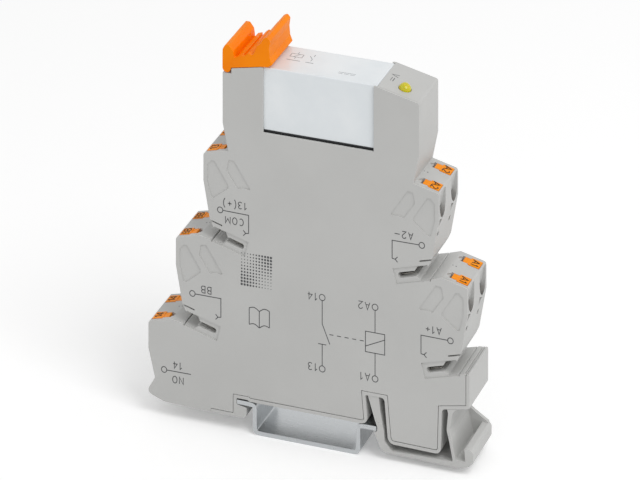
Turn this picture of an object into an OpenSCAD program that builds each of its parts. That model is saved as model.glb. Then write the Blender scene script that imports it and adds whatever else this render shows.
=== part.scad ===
/* [Module] */
// Thickness of the module along the rail
module_t = 14; // [13.8:0.1:15]
// Thickness of the clip-on side cover
cover_t = 0.6; // [0.5:0.05:0.7]
// Thickness of the moulded back wall
back_t = 0.6; // [0.5:0.05:0.7]
// Width of the shell rim that shows beside the cover
rim_w = 0.8; // [0.6:0.05:1]
// Open seam between the cover and the rim
seam_gap = 0.14; // [0.08:0.02:0.2]
// Wall left round the inner chambers
wall_t = 1; // [0.8:0.1:1.4]

/* [Tower] */
// Rail centreline to the tower's left edge
tower_left = 21.2; // [20.8:0.1:22]
// Width of the sloping shoulder beside the relay
shoulder_w = 10.6; // [10:0.1:11.5]
// Rise from the uppermost tiers to the relay's foot
pocket_rise = 6.9; // [6.5:0.1:7.5]
// Drop of the sloping shoulder at the tower's right edge
shoulder_drop = 2.3; // [1.5:0.1:3]
// Drop of the left column's sloping top
column_drop = 1.4; // [1:0.1:1.8]
// Rise from the uppermost tiers to where the tower starts to taper
taper_rise = 8; // [6:0.5:10]
// How far the tower tapers in at its foot
tower_taper = 1.3; // [0.8:0.1:1.8]

/* [Terminal tiers] */
// Rail centreline to the uppermost left tier
left_reach = 26.1; // [25.6:0.1:27]
// Reach of the uppermost right tier beyond the tower's shoulder
tier_reach = 4.9; // [4.5:0.1:5.9]
// Height of the uppermost tiers
tier_top = 57; // [56.5:0.1:58]
// Step outwards from one tier to the next
pitch_x = 7.05; // [6.8:0.05:7.4]
// Step down from one left tier to the next
pitch_z = 21.2; // [20.8:0.1:21.6]
// Step down from one right tier to the next
right_pitch_z = 20.9; // [20.6:0.1:21.4]
// Slope of a tier's top in degrees
tier_slope = 13; // [10:0.5:15]
// Length of a tier's top, measured level
tier_ledge = 6.3; // [6:0.1:6.6]
// Height of a tier's upright end face
face_h = 6.2; // [5.8:0.1:6.6]
// How far the end face tapers in below
tip_in = 1.7; // [1.4:0.1:2]
// Depth of a tier from its corner to its lower tip
tip_drop = 15.4; // [15:0.1:15.8]
// Distance of a terminal row from the module's middle
row_y = 4.2; // [4.1:0.05:4.3]
// Width of a terminal chamber
chamber_w = 4.3; // [4:0.1:4.4]

/* [Bridge shafts] */
// Level distance from the tier's corner to the shaft's mouth
shaft_x = 2.5; // [2.3:0.1:2.8]
// Drop from the tier's corner to the shaft's mouth
shaft_z = 17.1; // [16.9:0.1:17.4]
// Tilt of the shaft in degrees
shaft_tilt = 15; // [13:0.5:17]
// Clear height of the shaft's mouth
shaft_h = 3.2; // [3:0.1:3.4]
// Length of the shaft's wide mouth
mouth_l = 3.2; // [2.8:0.1:3.4]
// Length of the throat between mouth and slot
throat_l = 0.75; // [0.5:0.05:1]
// Width of the narrow contact slot
slot_w = 1.25; // [1.2:0.05:1.4]
// Length of the narrow contact slot
slot_l = 3.8; // [3.4:0.1:4.2]
// Depth of the sunken field round the slot
field_d = 0.3; // [0.2:0.05:0.4]
// Depth of the flat sunken pads on the cover
pad_d = 0.2; // [0.1:0.05:0.3]

/* [Push buttons] */
// Length of the label part of a button
label_l = 2.7; // [2.5:0.1:2.8]
// Width of the label part of a button
label_w = 3.2; // [3:0.1:3.3]
// Length of the narrow part of a button
neck_l = 1.5; // [1.3:0.1:1.6]
// Width of the narrow part of a button
neck_w = 2.3; // [2:0.1:2.5]
// Thickness of the label part
label_h = 3; // [2.6:0.1:3.2]
// Button travel
button_travel = 1.4; // [1.2:0.1:1.5]
// Clearance round a button
button_gap = 0.1; // [0.08:0.01:0.12]
// Distance from the tier's corner to the button
button_in = 0.5; // [0.45:0.05:0.7]

/* [Rail foot] */
// Width of the rail over its lips
rail_w = 35; // [34.8:0.1:35.2]
// Thickness of a rail lip
lip_t = 1; // [0.9:0.05:1.2]
// How far the fixed hook reaches under the lip
hook_reach = 2.4; // [2:0.1:2.8]
// How far the sprung catch reaches under the lip
catch_reach = 0.55; // [0.4:0.05:0.6]
// Travel of the sprung foot
foot_travel = 0.75; // [0.6:0.05:0.8]
// Depth of the foot below the rail seat
foot_drop = 6.1; // [5.9:0.1:6.4]
// Thickness of the foot's plate
plate_t = 1.05; // [0.9:0.05:1.1]
// How far the foot's flap stands out beyond the housing's end
flap_out = 0.9; // [0.7:0.1:1.5]
// Thickness of the flexing right limb
limb_t = 0.7; // [0.6:0.05:0.9]

/* [Relay] */
// Length of the relay
relay_l = 29; // [28.6:0.1:29]
// Thickness of the relay
relay_t = 12.7; // [12.5:0.05:12.7]
// Height of the relay
relay_h = 15.7; // [15.4:0.1:15.8]
// Wall of the relay's case
case_t = 0.6; // [0.5:0.05:0.8]
// Clearance between the relay and its pocket
relay_gap = 0.1; // [0.05:0.05:0.15]
// Thickness of the relay's base
base_t = 1.5; // [1.3:0.1:1.7]
// Length of the relay's pins
pin_l = 3.5; // [3:0.1:4]
// Thickness of a relay pin
pin_t = 0.6; // [0.5:0.05:0.7]
// Width of a relay pin
pin_w = 1.4; // [1.2:0.1:1.6]

/* [Retaining bracket] */
// Rail centreline to the bracket's hinge
hinge_x = 20.15; // [20.1:0.05:20.25]
// Height of the hinge below the pocket's rim
hinge_drop = 1.4; // [1.3:0.05:1.5]
// Radius of the hinge lobe
lobe_r = 1.05; // [1:0.01:1.1]
// Radius of the hinge pin
hinge_pin_r = 0.6; // [0.5:0.05:0.65]
// Running clearance in the hinge, measured radially
hinge_gap = 0.04; // [0.02:0.01:0.08]
// Height of the bracket's tall ridge above the hinge
ridge_h = 8.5; // [8:0.1:9]
// Reach of the bracket over the relay, from the hinge
nose_reach = 11.2; // [11:0.1:11.4]

/* [Indicator] */
// Radius of the lamp
lamp_r = 1.5; // [1.4:0.05:1.6]
// Distance of the lamp from the relay
lamp_in = 5.7; // [5.3:0.1:5.9]
// Offset of the lamp from the module's middle
lamp_y = -2.9; // [-3:0.1:-2.6]

/* [Metal parts] */
// Thickness of the contact bars
bar_t = 0.8; // [0.7:0.05:0.9]
// Width of a flat contact arm
arm_w = 2.4; // [2.2:0.1:2.6]
// Thickness of the clamping springs
spring_t = 0.4; // [0.35:0.05:0.45]
// Clearance round the metal parts
metal_gap = 0.12; // [0.1:0.02:0.14]
// Thickness of the circuit board
board_t = 1.2; // [1:0.1:1.6]

/* [Hidden] */
ROWS = ["front", "rear"];
TIERS = ["13", "bb", "14", "a2", "a1"];

// Curve quality of true round parts
$fn = 32;
// Steps in a rounded outline corner
arc_steps = 3;
// Overrun that makes every cut pass its face
over = 0.5;

half_t = module_t / 2;
relay_x0 = -11.5;
relay_x1 = relay_x0 + relay_l;
tower_right = relay_x1 + shoulder_w;
tower_top = tier_top + pocket_rise + relay_h;
tower_taper_z = tier_top + taper_rise;
right_reach = tower_right + tier_reach;
lamp_x = relay_x1 + lamp_in;
cover_y = -half_t + cover_t;
back_y = half_t - back_t;
grey = "#b7b7b5";
orange = "#f58a0b";

// Side of each tier, -1 left and 1 right, and its count from the top
SIDES = [-1, -1, -1, 1, 1];
LEVELS = [0, 1, 2, 0, 1];

// Outline helpers
function unit(v) = v / norm(v);
function left_of(v) = [-v[1], v[0]];
function corner_arc(a, b, c, r) =
    let (u = unit(a - b), v = unit(c - b), turn = acos(max(-1, min(1, u * v))))
    r <= 0 || turn > 179 ? [b] :
    let (mid = b + unit(u + v) * r / sin(turn / 2), p = b + u * r / tan(turn / 2),
        q = b + v * r / tan(turn / 2),
         a0 = atan2(p[1] - mid[1], p[0] - mid[0]), a1 = atan2(q[1] - mid[1], q[0] - mid[0]),
         d = a1 - a0, sweep = d > 180 ? d - 360 : d < -180 ? d + 360 : d)
    [for (j = [0:arc_steps]) mid + r * [cos(a0 + sweep * j / arc_steps), sin(a0 + sweep * j / arc_steps)]];
// Rounds an outline of [x, z, radius] corners
function rounded(pts) = let (n = len(pts), xy = [for (p = pts) [p[0], p[1]]])
    [for (i = [0:n - 1]) each corner_arc(xy[(i + n - 1) % n], xy[i], xy[(i + 1) % n], pts[i][2])];
// Where the line through p along u meets the line through q along v
function meet(p, u, q, v) = let (cross = u[0] * v[1] - u[1] * v[0], w = q - p)
    p + u * (w[0] * v[1] - w[1] * v[0]) / cross;
// Moves each edge of a clockwise outline inwards by its fourth value
function inset(pts) = let (n = len(pts), xy = [for (p = pts) [p[0], p[1]]],
         dir = [for (i = [0:n - 1]) unit(xy[(i + 1) % n] - xy[i])])
    [for (i = [0:n - 1]) let (k = (i + n - 1) % n,
         p = meet(xy[i] - left_of(dir[k]) * pts[k][3], dir[k], xy[i] - left_of(dir[i]) * pts[i][3], dir[i]))
         [p[0], p[1], pts[i][2]]];
// A strip of even thickness along a path
function ribbon(path, t) = let (n = len(path), last = n - 1,
         side = [for (i = [0:last]) i == 0 ? left_of(unit(path[1] - path[0])) * t / 2
             : i == last ? left_of(unit(path[last] - path[last - 1])) * t / 2
             : let (a = left_of(unit(path[i] - path[i - 1])), b = left_of(unit(path[i + 1] - path[i])))
               unit(a + b) * t / 2 / sqrt((1 + a * b) / 2)])
    concat([for (i = [0:last]) path[i] + side[i]], [for (i = [last:-1:0]) path[i] - side[i]]);

// Extrudes an outline in X and Z from depth y0 to depth y1
module across(y0, y1) {
    translate([0, y1, 0]) rotate([90, 0, 0]) linear_extrude(y1 - y0) children();
}
module box(low, high) {
    translate(low) cube(high - low);
}

// Tier frames: X inwards and Z up from the tier's outer corner
function tier_corner(side, level) = side < 0
    ? [-left_reach - level * pitch_x, tier_top - level * pitch_z]
    : [right_reach + level * pitch_x, tier_top - level * right_pitch_z];
function tier_pt(side, level, p) = tier_corner(side, level) + [-side * p[0], p[1]];
// From the sloping top's frame, U inwards along it and N out of it
function on_slope(p) = [p[0] * cos(tier_slope) - p[1] * sin(tier_slope),
    p[0] * sin(tier_slope) + p[1] * cos(tier_slope)];
// From the shaft's frame, S inwards along it and N up across it
function in_shaft(p) = [shaft_x, -shaft_z] + [p[0] * cos(shaft_tilt) + p[1] * sin(shaft_tilt),
    -p[0] * sin(shaft_tilt) + p[1] * cos(shaft_tilt)];
module at_tier(i) {
    corner = tier_corner(SIDES[i], LEVELS[i]);
    translate([corner[0], 0, corner[1]]) mirror([SIDES[i] > 0 ? 1 : 0, 0, 0]) children();
}
module at_slope(i, y) {
    at_tier(i) translate([0, y, 0]) rotate([0, -tier_slope, 0]) children();
}
function row_place(r) = r == 0 ? -row_y : row_y;

tier_rise = tier_ledge * tan(tier_slope);
slot_s = mouth_l + throat_l;
slot_n = -shaft_h / 2;
slot_end = slot_s + slot_l + slot_w / 2;
slot_r = 0.45 * slot_w;
soft_r = 2;
edge_r = 0.6;
small_r = 0.3;

// One tier's contour from the inner end of its top down to the next tier
function tier_contour() = concat(
    [[tier_ledge, tier_rise, 0], [0, 0, edge_r], [0, -face_h, soft_r], [tip_in, -tip_drop, small_r]],
    [for (p = [[0, 0, 0], [mouth_l, 0, small_r], [slot_s, slot_n + slot_w / 2, 0],
               [slot_end, slot_n + slot_w / 2, slot_r], [slot_end, slot_n - slot_w / 2, slot_r],
               [slot_s, slot_n - slot_w / 2, 0], [mouth_l, -shaft_h, small_r], [0, -shaft_h, 0]])
        let (q = in_shaft(p)) [q[0], q[1], p[2]]]);
function side_contour(side, level) = [for (p = tier_contour())
    let (q = tier_pt(side, level, p)) [q[0], q[1], p[2], 0]];
function flip(pts) = [for (i = [len(pts) - 1:-1:0]) pts[i]];

// Tower
hinge_z = tower_top - hinge_drop;
pocket_z = tower_top - relay_h - 0.1 * cover_t - 2 * relay_gap;
step_x = -hinge_x + lobe_r + relay_gap;
step_z = hinge_z - lobe_r - 2 * relay_gap;
column_z = tower_top - column_drop;
tower_outline = [[-tower_left, step_z, 0, 0], [step_x, step_z, 0, 0], [step_x, column_z, small_r, 0],
    [relay_x0 - relay_gap, tower_top, 0, 0], [relay_x1 + relay_gap, tower_top, 0, 0],
    [tower_right, tower_top - shoulder_drop, edge_r, 0], [tower_right, tower_taper_z, 0, 0]];

// Rail and foot
lip_x = rail_w / 2;
hook_z = -lip_t - metal_gap;
hook_t = 3;
hook_len = 6.7;
heel_x = left_reach + 2 * pitch_x;
heel_z = 8.3;
heel_lobe = 1.1;
end_out = 0.45;
end_x = right_reach + pitch_x + end_out;
flap_x = end_x + flap_out;
post_in = 7.05;
post_x0 = lip_x + 2.9 * lip_t;
post_x1 = end_x - post_in;
post_z = -3.7;
post_lean = 0.95;
notch_z = 6.9;
leg_x0 = lip_x - 2.15 * lip_t;
leg_x1 = lip_x + 0.55 * lip_t;
limb_x = post_x1 + 1.8 * lip_t;
end_rise = 1.25;
leg_gap = 0.6;
flex_z = 1;
seat_r = 1.4;
post_r = 1.6;
notch_r = 0.8;
right_wall_z = tier_pt(1, 1, in_shaft([0, -shaft_h]))[1] + pad_d;

right_foot_outline = [[end_x, right_wall_z, small_r, rim_w], [end_x, notch_z + end_rise, small_r, rim_w],
    [post_x1 + leg_gap / 2, notch_z, notch_r, rim_w], [post_x1, post_z, seat_r, rim_w],
    [post_x0, post_z + pad_d, post_r, rim_w], [post_x0 - post_lean, notch_z, notch_r, rim_w],
    [leg_x0 - leg_gap, notch_z, small_r, rim_w], [leg_x0, 0, seat_r, rim_w],
    [-lip_x + hook_reach + small_r * 2, 0, 0, rim_w], [-lip_x + hook_reach + small_r, small_r, 0, rim_w]];
hook_low = [-lip_x - 2 * hook_reach, hook_z - hook_t];
heel_low = [-heel_x + 4 * wall_t, hook_z - hook_t + small_r];
left_foot_outline = [[-lip_x - metal_gap, small_r, 0, rim_w], [-lip_x - metal_gap, hook_z, 0, rim_w],
    [-lip_x + hook_reach, hook_z - wall_t / 2, small_r, rim_w],
    [-lip_x + hook_reach, hook_z - hook_t, wall_t, 0], [hook_low[0], hook_low[1], 0, 0],
    [heel_low[0], heel_low[1], wall_t, 0], [-heel_x - heel_lobe / 2, hook_z - heel_lobe, heel_lobe, 0],
    [-heel_x + tip_in, -hook_z + small_r, edge_r, 0], [-heel_x, heel_z, small_r, 0]];

housing_outline = concat(tower_outline, side_contour(1, 0), side_contour(1, 1), right_foot_outline,
    left_foot_outline, [for (level = [2, 1, 0]) each
        level == 2 ? flip([for (i = [0:1]) side_contour(-1, 2)[i]]) : flip(side_contour(-1, level))],
    [[-tower_left, tower_taper_z, 0, 0]]);

// Seam between the cover and the shell's rim, at distance w inside the outline
rim_first = len(tower_outline) + 2 * len(tier_contour());
rim_last = rim_first + len(right_foot_outline);
hook_end_x = -lip_x - hook_len;
hook_end_z = hook_low[1] +
    (heel_low[1] - hook_low[1]) * (hook_end_x - hook_low[0]) / (heel_low[0] - hook_low[0]);
seam_r = small_r / 3;
function seam_path(w) = let (pts = inset([for (p = housing_outline) [p[0], p[1], p[2], p[3] > 0 ? w : 0]]))
    concat([for (i = [rim_first:rim_last])
        [pts[i][0], pts[i][1], pts[i][2] > 0 ? max(seam_r, pts[i][2] - w) : 0]],
           [[-lip_x - metal_gap - w, hook_z - hook_t + w, seam_r], [hook_end_x, hook_z - hook_t + w, 0],
            [hook_end_x, hook_end_z, 0]]);
cover_outline = concat([for (i = [0:rim_first - 1]) housing_outline[i]], seam_path(rim_w + seam_gap),
    [for (i = [rim_last + 5:len(housing_outline) - 1]) housing_outline[i]]);
module cover_recess() {
    far = 2 * heel_x;
    mouth_z = right_wall_z + shaft_h / 2;
    seam = seam_path(rim_w);
    across(-half_t - over, cover_y) polygon(rounded(concat([[end_x - rim_w, mouth_z, 0]],
        [for (i = [1:len(seam) - 2]) seam[i]],
        [[hook_end_x, -far, 0], [-far, -far, 0], [-far, far * 1.5, 0],
            [far, far * 1.5, 0], [far, mouth_z, 0]])));
}

// Chamber and funnel shapes in the slope's frame
chamber_u0 = 1.4;
chamber_l = 7;
chamber_top = -5.6;
chamber = [[chamber_u0, chamber_top], [chamber_u0 + chamber_l, chamber_top],
    [chamber_u0 + chamber_l, chamber_top - chamber_l], [button_in - small_r, chamber_top - chamber_l]];
stem_u0 = button_in + label_l - button_gap;
stem_u1 = button_in + label_l + neck_l;
stem_top = -label_h - button_travel;
bar_n = chamber[2][1] + bar_t / 2 + metal_gap / 2;

module shaft_frame() {
    translate([shaft_x, 0, -shaft_z]) rotate([0, shaft_tilt, 0]) children();
}
module tongue_slit(y0, y1) {
    slit_l = mouth_l;
    slit_h = metal_gap * 3;
    translate([tip_in - over / 2, 0, -tip_drop - slit_h]) rotate([0, shaft_tilt, 0])
        box([0, y0, 0], [slit_l + over / 2, y1, slit_h]);
}

// Cuts of one terminal: label slot, stem slot, chamber, funnel, probe hole
module terminal_cut(row) {
    y = row_place(row);
    w = chamber_w / 2;
    translate([0, y, 0]) {
        rotate([0, -tier_slope, 0]) {
            label_half = label_w / 2 + button_gap;
            neck_half = neck_w / 2 + button_gap;
            box([button_in - button_gap, -label_half, -label_h - button_travel - pad_d],
                [button_in + label_l + button_gap, label_half, over]);
            box([stem_u0 - button_gap, -neck_half, chamber[0][1] - over],
                [stem_u1 + button_gap, neck_half, over]);
            probe_hole(neck_half);
            chamber_cut(-w, w);
        }
        funnel_cut(w);
    }
    tab_cut(y, w);
}
module chamber_cut(y0, y1) {
    across(y0, y1) polygon(chamber);
}
probe_r = 0.75;
module probe_hole(half) {
    hole_l = 0.6;
    translate([stem_u1 + hole_l, 0, -pad_d * 2]) cylinder(h = over * 2, r = probe_r);
    box([stem_u1, -half, -label_h], [stem_u1 + hole_l, half, over]);
}
// The funnel drops steeply inwards under the button's outer wall
module funnel_cut(w) {
    mouth_z = -face_h / 2;
    funnel_tilt = 50;
    wall_u = button_in - button_gap - small_r;
    roof_n = -label_h - button_travel - pad_d - small_r;
    intersection() {
        union() {
            translate([0, 0, mouth_z]) rotate([0, 90 + funnel_tilt, 0])
                translate([0, 0, -face_h / 2]) cylinder(h = face_h * 1.4, r = w);
            box([-face_h, -w, mouth_z], [wall_t, w, -small_r]);
        }
        rotate([0, -tier_slope, 0]) across(-w, w)
            polygon([[-face_h, over], [wall_u, over], [wall_u, roof_n], [chamber[1][0] / 2, roof_n],
                     [chamber[1][0] / 2, chamber[2][1]], [-face_h, chamber[2][1]]]);
    }
}
// Small triangular pocket and release slit below the funnel
module tab_cut(y, w) {
    tab_z = -face_h;
    tab_h = 2;
    slit_top = tab_z - tab_h * 1.6;
    translate([0, y, 0]) {
        translate([tip_in / 3, 0, 0]) rotate([0, 90, 0]) translate([0, 0, -wall_t])
            linear_extrude(wall_t * 1.8)
                polygon([[-tab_z, -w], [-tab_z + tab_h, -w], [-tab_z + tab_h * 0.4, 0]]);
        box([0, -w, slit_top - tab_h / 2], [tip_in * 1.2, -w + wall_t * 1.3, slit_top]);
    }
}

// Contact arms as flat paths in X and Z
function arm_path(i) = let (s = SIDES[i], l = LEVELS[i], start = tier_pt(s, l, arm_start),
        well = socket_x, foot = flex_z + 4 * flex_z)
    i == 0 ? [start, [well[0] - arm_w, start[1] + arm_w / 3],
        [well[0], start[1] + arm_w * 1.4], [well[0], fork_z]] :
    i == 1 ? [start, tier_pt(s, l, branch_in)] :
    i == 2 ? [start, [well[1] - arm_w, foot], [well[1], foot + arm_w], [well[1], fork_z]] :
    [start, [board_x1 - arm_w, start[1]]];
arm_start = on_slope([chamber[1][0] - 1.6 * bar_t, bar_n]);
branch_in = arm_start + [arm_w, -arm_w / 2];
branch_low = in_shaft([slot_s + slot_l + arm_w / 2, slot_n]);
pin_in = 4;
pin_pitch = 5;
socket_x = [relay_x0 + pin_in, relay_x0 + pin_in + pin_pitch];
coil_pin_x = relay_x1 - pin_in;
coil_pin_y = 3.75;
fork_z = pocket_z - wall_t - pin_l - bar_t * 2;
board_in = 8.6;
board_x0 = 4;
board_x1 = tower_right - board_in;
board_h = 34.5;
board_z1 = fork_z - wall_t;
board_z0 = board_z1 - board_h;
board_y = 3;
floor_t = 1.2;

module arm(i, grow) {
    path = arm_path(i);
    across(-bar_t / 2 - grow, bar_t / 2 + grow) polygon(ribbon(path, arm_w + 2 * grow));
}
// The branch that leads down to the bridge slot
module branch(grow) {
    across(-bar_t / 2 - grow, bar_t / 2 + grow)
        polygon(ribbon([arm_start, branch_in, [branch_low[0], branch_in[1] - arm_w], branch_low],
                       arm_w / 2 + 2 * grow));
}
// Marks across the shaft's floor and the foot block's top
groove_w = 0.2;
groove_d = 0.45;
module floor_groove(at, y0) {
    shaft_frame() box([at, y0, -shaft_h - groove_d], [at + groove_w, half_t + over, -shaft_h + over]);
}
fork_half = 5;
module fork_cut() {
    shaft_frame() box([slot_s + slot_l - bar_t, -fork_half - metal_gap, slot_n - slot_w / 2 - metal_gap],
        [slot_s + slot_l + arm_w, fork_half + metal_gap, slot_n + slot_w / 2 + metal_gap]);
}
module floor_cut() {
    rotate([0, -tier_slope, 0]) box([chamber[3][0] + bar_t * 2, -half_t + cover_t, chamber[2][1]],
        [chamber[1][0], back_y, chamber[2][1] + bar_t + 2 * metal_gap]);
}

main_x0 = -13.5;
main_x1 = board_x1 + wall_t;
main_z0 = 2;
boss_r = 1.4;
peg_r = 0.8;
peg_l = 3;
pegs = [[-38.2 * heel_x / 40.2, heel_z - boss_r * 3], [-tower_left + boss_r * 1.6, tower_taper_z + boss_r],
    [tower_right - boss_r * 1.5, tower_taper_z - boss_r], [end_x - boss_r * 1.4, notch_z + boss_r * 3.2],
    [post_x0 + boss_r * 1.6, main_z0 + boss_r]];

// Hollow of the shell behind the cover
module main_hollow() {
    across(cover_y - over, back_y) polygon([
        [main_x0, main_z0], [post_x0 - post_lean - wall_t - leg_gap * 7, main_z0],
        [post_x0 - post_lean - wall_t - leg_gap * 7, notch_z + wall_t], [main_x1, notch_z + wall_t],
        [main_x1, tier_top - face_h], [tower_right - wall_t - tower_taper, tier_top + tier_rise + wall_t],
        [tower_right - wall_t, tower_taper_z],
        [tower_right - wall_t, tower_top - shoulder_drop - 1.6 * wall_t],
        [relay_x1 + wall_t + relay_gap, tower_top - 2 * wall_t],
        [relay_x1 + wall_t + relay_gap, pocket_z - floor_t], [main_x0, pocket_z - floor_t]]);
    // Hollow post over the sprung foot
    across(cover_y - over, back_y) polygon([
        [post_x0 + wall_t, post_z + wall_t + pad_d], [post_x1 - wall_t, post_z + wall_t + pad_d],
        [post_x1 - wall_t, heel_z + wall_t], [post_x0 + wall_t / 2, heel_z + wall_t]]);
    // Hollow heel under the lowest left tier
    across(cover_y - over, back_y) polygon([
        [-heel_x + wall_t * 2.6, hook_z - hook_t / 2], [-lip_x - wall_t * 2, hook_z - hook_t * 0.6],
        [-lip_x - wall_t * 2, 0], [-heel_x + wall_t * 9, 0], [-heel_x + wall_t * 2.8, -hook_z]]);
}

// Opening shapes of the tower
module relay_pocket() {
    box([relay_x0 - relay_gap, cover_y - over, pocket_z], [relay_x1 + relay_gap, back_y, tower_top + over]);
    relay_window(back_y - over, half_t + over);
    // Pin slots through the pocket's floor
    for (x = socket_x) box([x - pin_w / 2 - pin_t, -pin_t * 1.6, pocket_z - floor_t - over],
        [x + pin_w / 2 + pin_t, pin_t * 1.6, pocket_z + over]);
    for (y = [-coil_pin_y, coil_pin_y])
        box([coil_pin_x - pin_w / 2 - pin_t, y - pin_t * 1.2, pocket_z - floor_t - over],
            [coil_pin_x + pin_w / 2 + pin_t, y + pin_t * 1.2, pocket_z + over]);
}
// Window that shows the relay through a side wall
module relay_window(y0, y1) {
    window_in = 0.6;
    box([relay_x0 + window_in, y0, pocket_z + window_in],
        [relay_x1 - relay_gap - window_in, y1, tower_top + over]);
}
shoulder_angle = atan(shoulder_drop / (tower_right - relay_x1 - relay_gap));
lamp_z = tower_top - shoulder_drop * (lamp_x - relay_x1 - relay_gap) / (tower_right - relay_x1 - relay_gap);
module at_lamp() {
    translate([lamp_x, lamp_y, lamp_z]) rotate([0, shoulder_angle, 0]) children();
}

ear_half = 2.9;
module hinge_ear() {
    translate([0, ear_half, 0]) translate([-hinge_x, 0, hinge_z]) rotate([90, 0, 0])
        cylinder(h = 2 * ear_half, r = lobe_r - hinge_gap);
    box([-hinge_x - lobe_r * 0.55, -ear_half, step_z - wall_t],
        [step_x + small_r, ear_half, hinge_z - small_r]);
}

module housing_shell() {
    color(grey) difference() {
        union() {
            across(-half_t, half_t) polygon(rounded(housing_outline));
            hinge_ear();
        }
        cover_recess();
        difference() {
            main_hollow();
            for (p = pegs) translate([p[0], half_t, p[1]]) rotate([90, 0, 0])
                cylinder(h = back_y - cover_y + back_t, r = boss_r);
        }
        relay_pocket();
        for (i = [0:4]) {
            at_tier(i) {
                for (row = [0, 1]) terminal_cut(row);
                floor_cut();
                if (i != 2) {
                    tongue_slit(-half_t - over, cover_y + peg_l);
                    fork_cut();
                    branch(metal_gap);
                    floor_groove(groove_d, -half_t - over);
                    if (i == 4) for (k = [1, 2]) floor_groove(-small_r - k * edge_r, -half_t - over);
                }
            }
            arm(i, metal_gap);
        }
        for (p = pegs) translate([p[0], cover_y + peg_l + metal_gap, p[1]]) rotate([90, 0, 0])
            cylinder(h = peg_l + metal_gap + over, r = peg_r + metal_gap / 2);
        at_lamp() {
            translate([0, 0, -2 * wall_t]) cylinder(h = 2 * wall_t + over, r = lamp_r + metal_gap / 2);
            translate([0, 0, -lamp_r * 4])
                cylinder(h = lamp_r * 4 - wall_t, r = lamp_r + small_r + metal_gap);
        }
        translate([-hinge_x, half_t, hinge_z]) rotate([90, 0, 0])
            cylinder(h = module_t, r = hinge_pin_r + hinge_gap);
    }
}

// Sunken pads beside each pair of bridged terminals
pad_shares = [
    [[0.18, -0.066], [0.25, -0.066], [0.55, -0.31], [0.555, -0.345],
     [0.22, -0.485], [0.17, -0.475], [0.085, -0.31],
     [0.085, -0.118]],
    [[0.555, -0.033], [0.51, -0.15], [0.753, -0.335], [0.875, -0.316], [1.06, -0.33], [0.675, -0.024]]];
module cover_pads() {
    for (set = pad_shares) across(-half_t - over, -half_t + pad_d)
        polygon(rounded([for (p = set) [p[0] * tip_drop * 0.75, p[1] * pitch_z, small_r]]));
}
module side_cover() {
    color(grey) difference() {
        union() {
            across(-half_t, cover_y) polygon(rounded(cover_outline));
            for (p = pegs) translate([p[0], cover_y + peg_l, p[1]]) rotate([90, 0, 0])
                cylinder(h = peg_l + cover_t / 2, r = peg_r);
        }
        relay_window(-half_t - over, cover_y + over);
        for (i = [0:4]) if (i != 2) at_tier(i) {
            tongue_slit(-half_t - over, cover_y + over);
            floor_groove(groove_d, -half_t - over);
            shaft_frame() box([small_r, -half_t - over, -shaft_h - over / 2],
                [slot_s + slot_l + slot_w * 1.2, -half_t + field_d, slot_w * 0.2]);
            cover_pads();
            translate([tip_drop * 0.28, -half_t + pad_d, -pitch_z * 0.3]) rotate([90, 0, 0])
                cylinder(h = over, r = face_h / 9);
        }
    }
}

// Contact bar: clamping floor in both rows, upright in each, arm and bridge fork
module busbar(i) {
    color("#c9803f") {
        at_slope(i, 0) {
            inner = half_t - cover_t - metal_gap;
            box([chamber[3][0] + 2.2 * bar_t, -inner, bar_n - bar_t / 2],
                [chamber[1][0] - metal_gap, inner, bar_n + bar_t / 2]);
            for (r = [0, 1]) across(row_place(r) - label_w / 2, row_place(r) + label_w / 2)
                polygon(ribbon([[chamber[0][0] * 0.95, bar_n * 0.74], [chamber[0][0] * 0.8, bar_n],
                                [chamber[0][0] * 1.9, bar_n]], bar_t));
        }
        arm(i, 0);
        if (i != 2) at_tier(i) {
            branch(0);
            shaft_frame() {
                prong_t = 0.3;
                for (k = [-1, 1]) translate([0, 0, slot_n + k * (slot_w / 2 - prong_t / 2 - metal_gap / 3)])
                    box([slot_s + slot_l / 3, -fork_half, -prong_t / 2],
                        [slot_s + slot_l + arm_w / 2, fork_half, prong_t / 2]);
                box([slot_s + slot_l + slot_w * 0.4, -fork_half, slot_n - slot_w / 2 + metal_gap / 3],
                    [slot_s + slot_l + slot_w, fork_half, slot_n + slot_w / 2 - metal_gap / 3]);
            }
        }
        // Tab that meets the circuit board
        if (i > 2) {
            z = tier_pt(1, LEVELS[i], arm_start)[1];
            box([board_x1 - arm_w, bar_t / 2 - bar_t, z - arm_w / 2],
                [board_x1 - arm_w / 2, board_y, z + arm_w / 2]);
        }
        if (i == 0 || i == 2) socket_fork(socket_x[i / 2], 0);
    }
}
// Fork that grips a relay pin
module socket_fork(x, y) {
    fork_top = pocket_z - wall_t - small_r;
    grip = pin_t / 2 + metal_gap / 2;
    strip = bar_t / 2;
    half = pin_w / 2 + metal_gap;
    for (s = [0, 1]) translate([x, y, 0]) mirror([0, s, 0])
        box([-half, grip, fork_z - bar_t], [half, grip + strip, fork_top - floor_t / 2]);
    box([x - half, y - grip - strip, fork_z - bar_t], [x + half, y + grip + strip, fork_z + bar_t]);
}
module coil_socket() {
    color("#c9803f") for (y = [-coil_pin_y, coil_pin_y]) {
        socket_fork(coil_pin_x, y);
        tail = bar_t / 2;
        x = y > 0 ? coil_pin_x : coil_pin_x - pin_w - bar_t;
        box([x, min(y, board_y) - tail, fork_z - bar_t], [coil_pin_x + tail, min(y, board_y) + tail, fork_z]);
        box([x, min(y, board_y - tail), fork_z - bar_t], [x + tail, max(y, board_y), fork_z]);
        box([x, board_y - tail, board_z1 - arm_w], [x + tail, board_y, fork_z]);
    }
}

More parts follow.
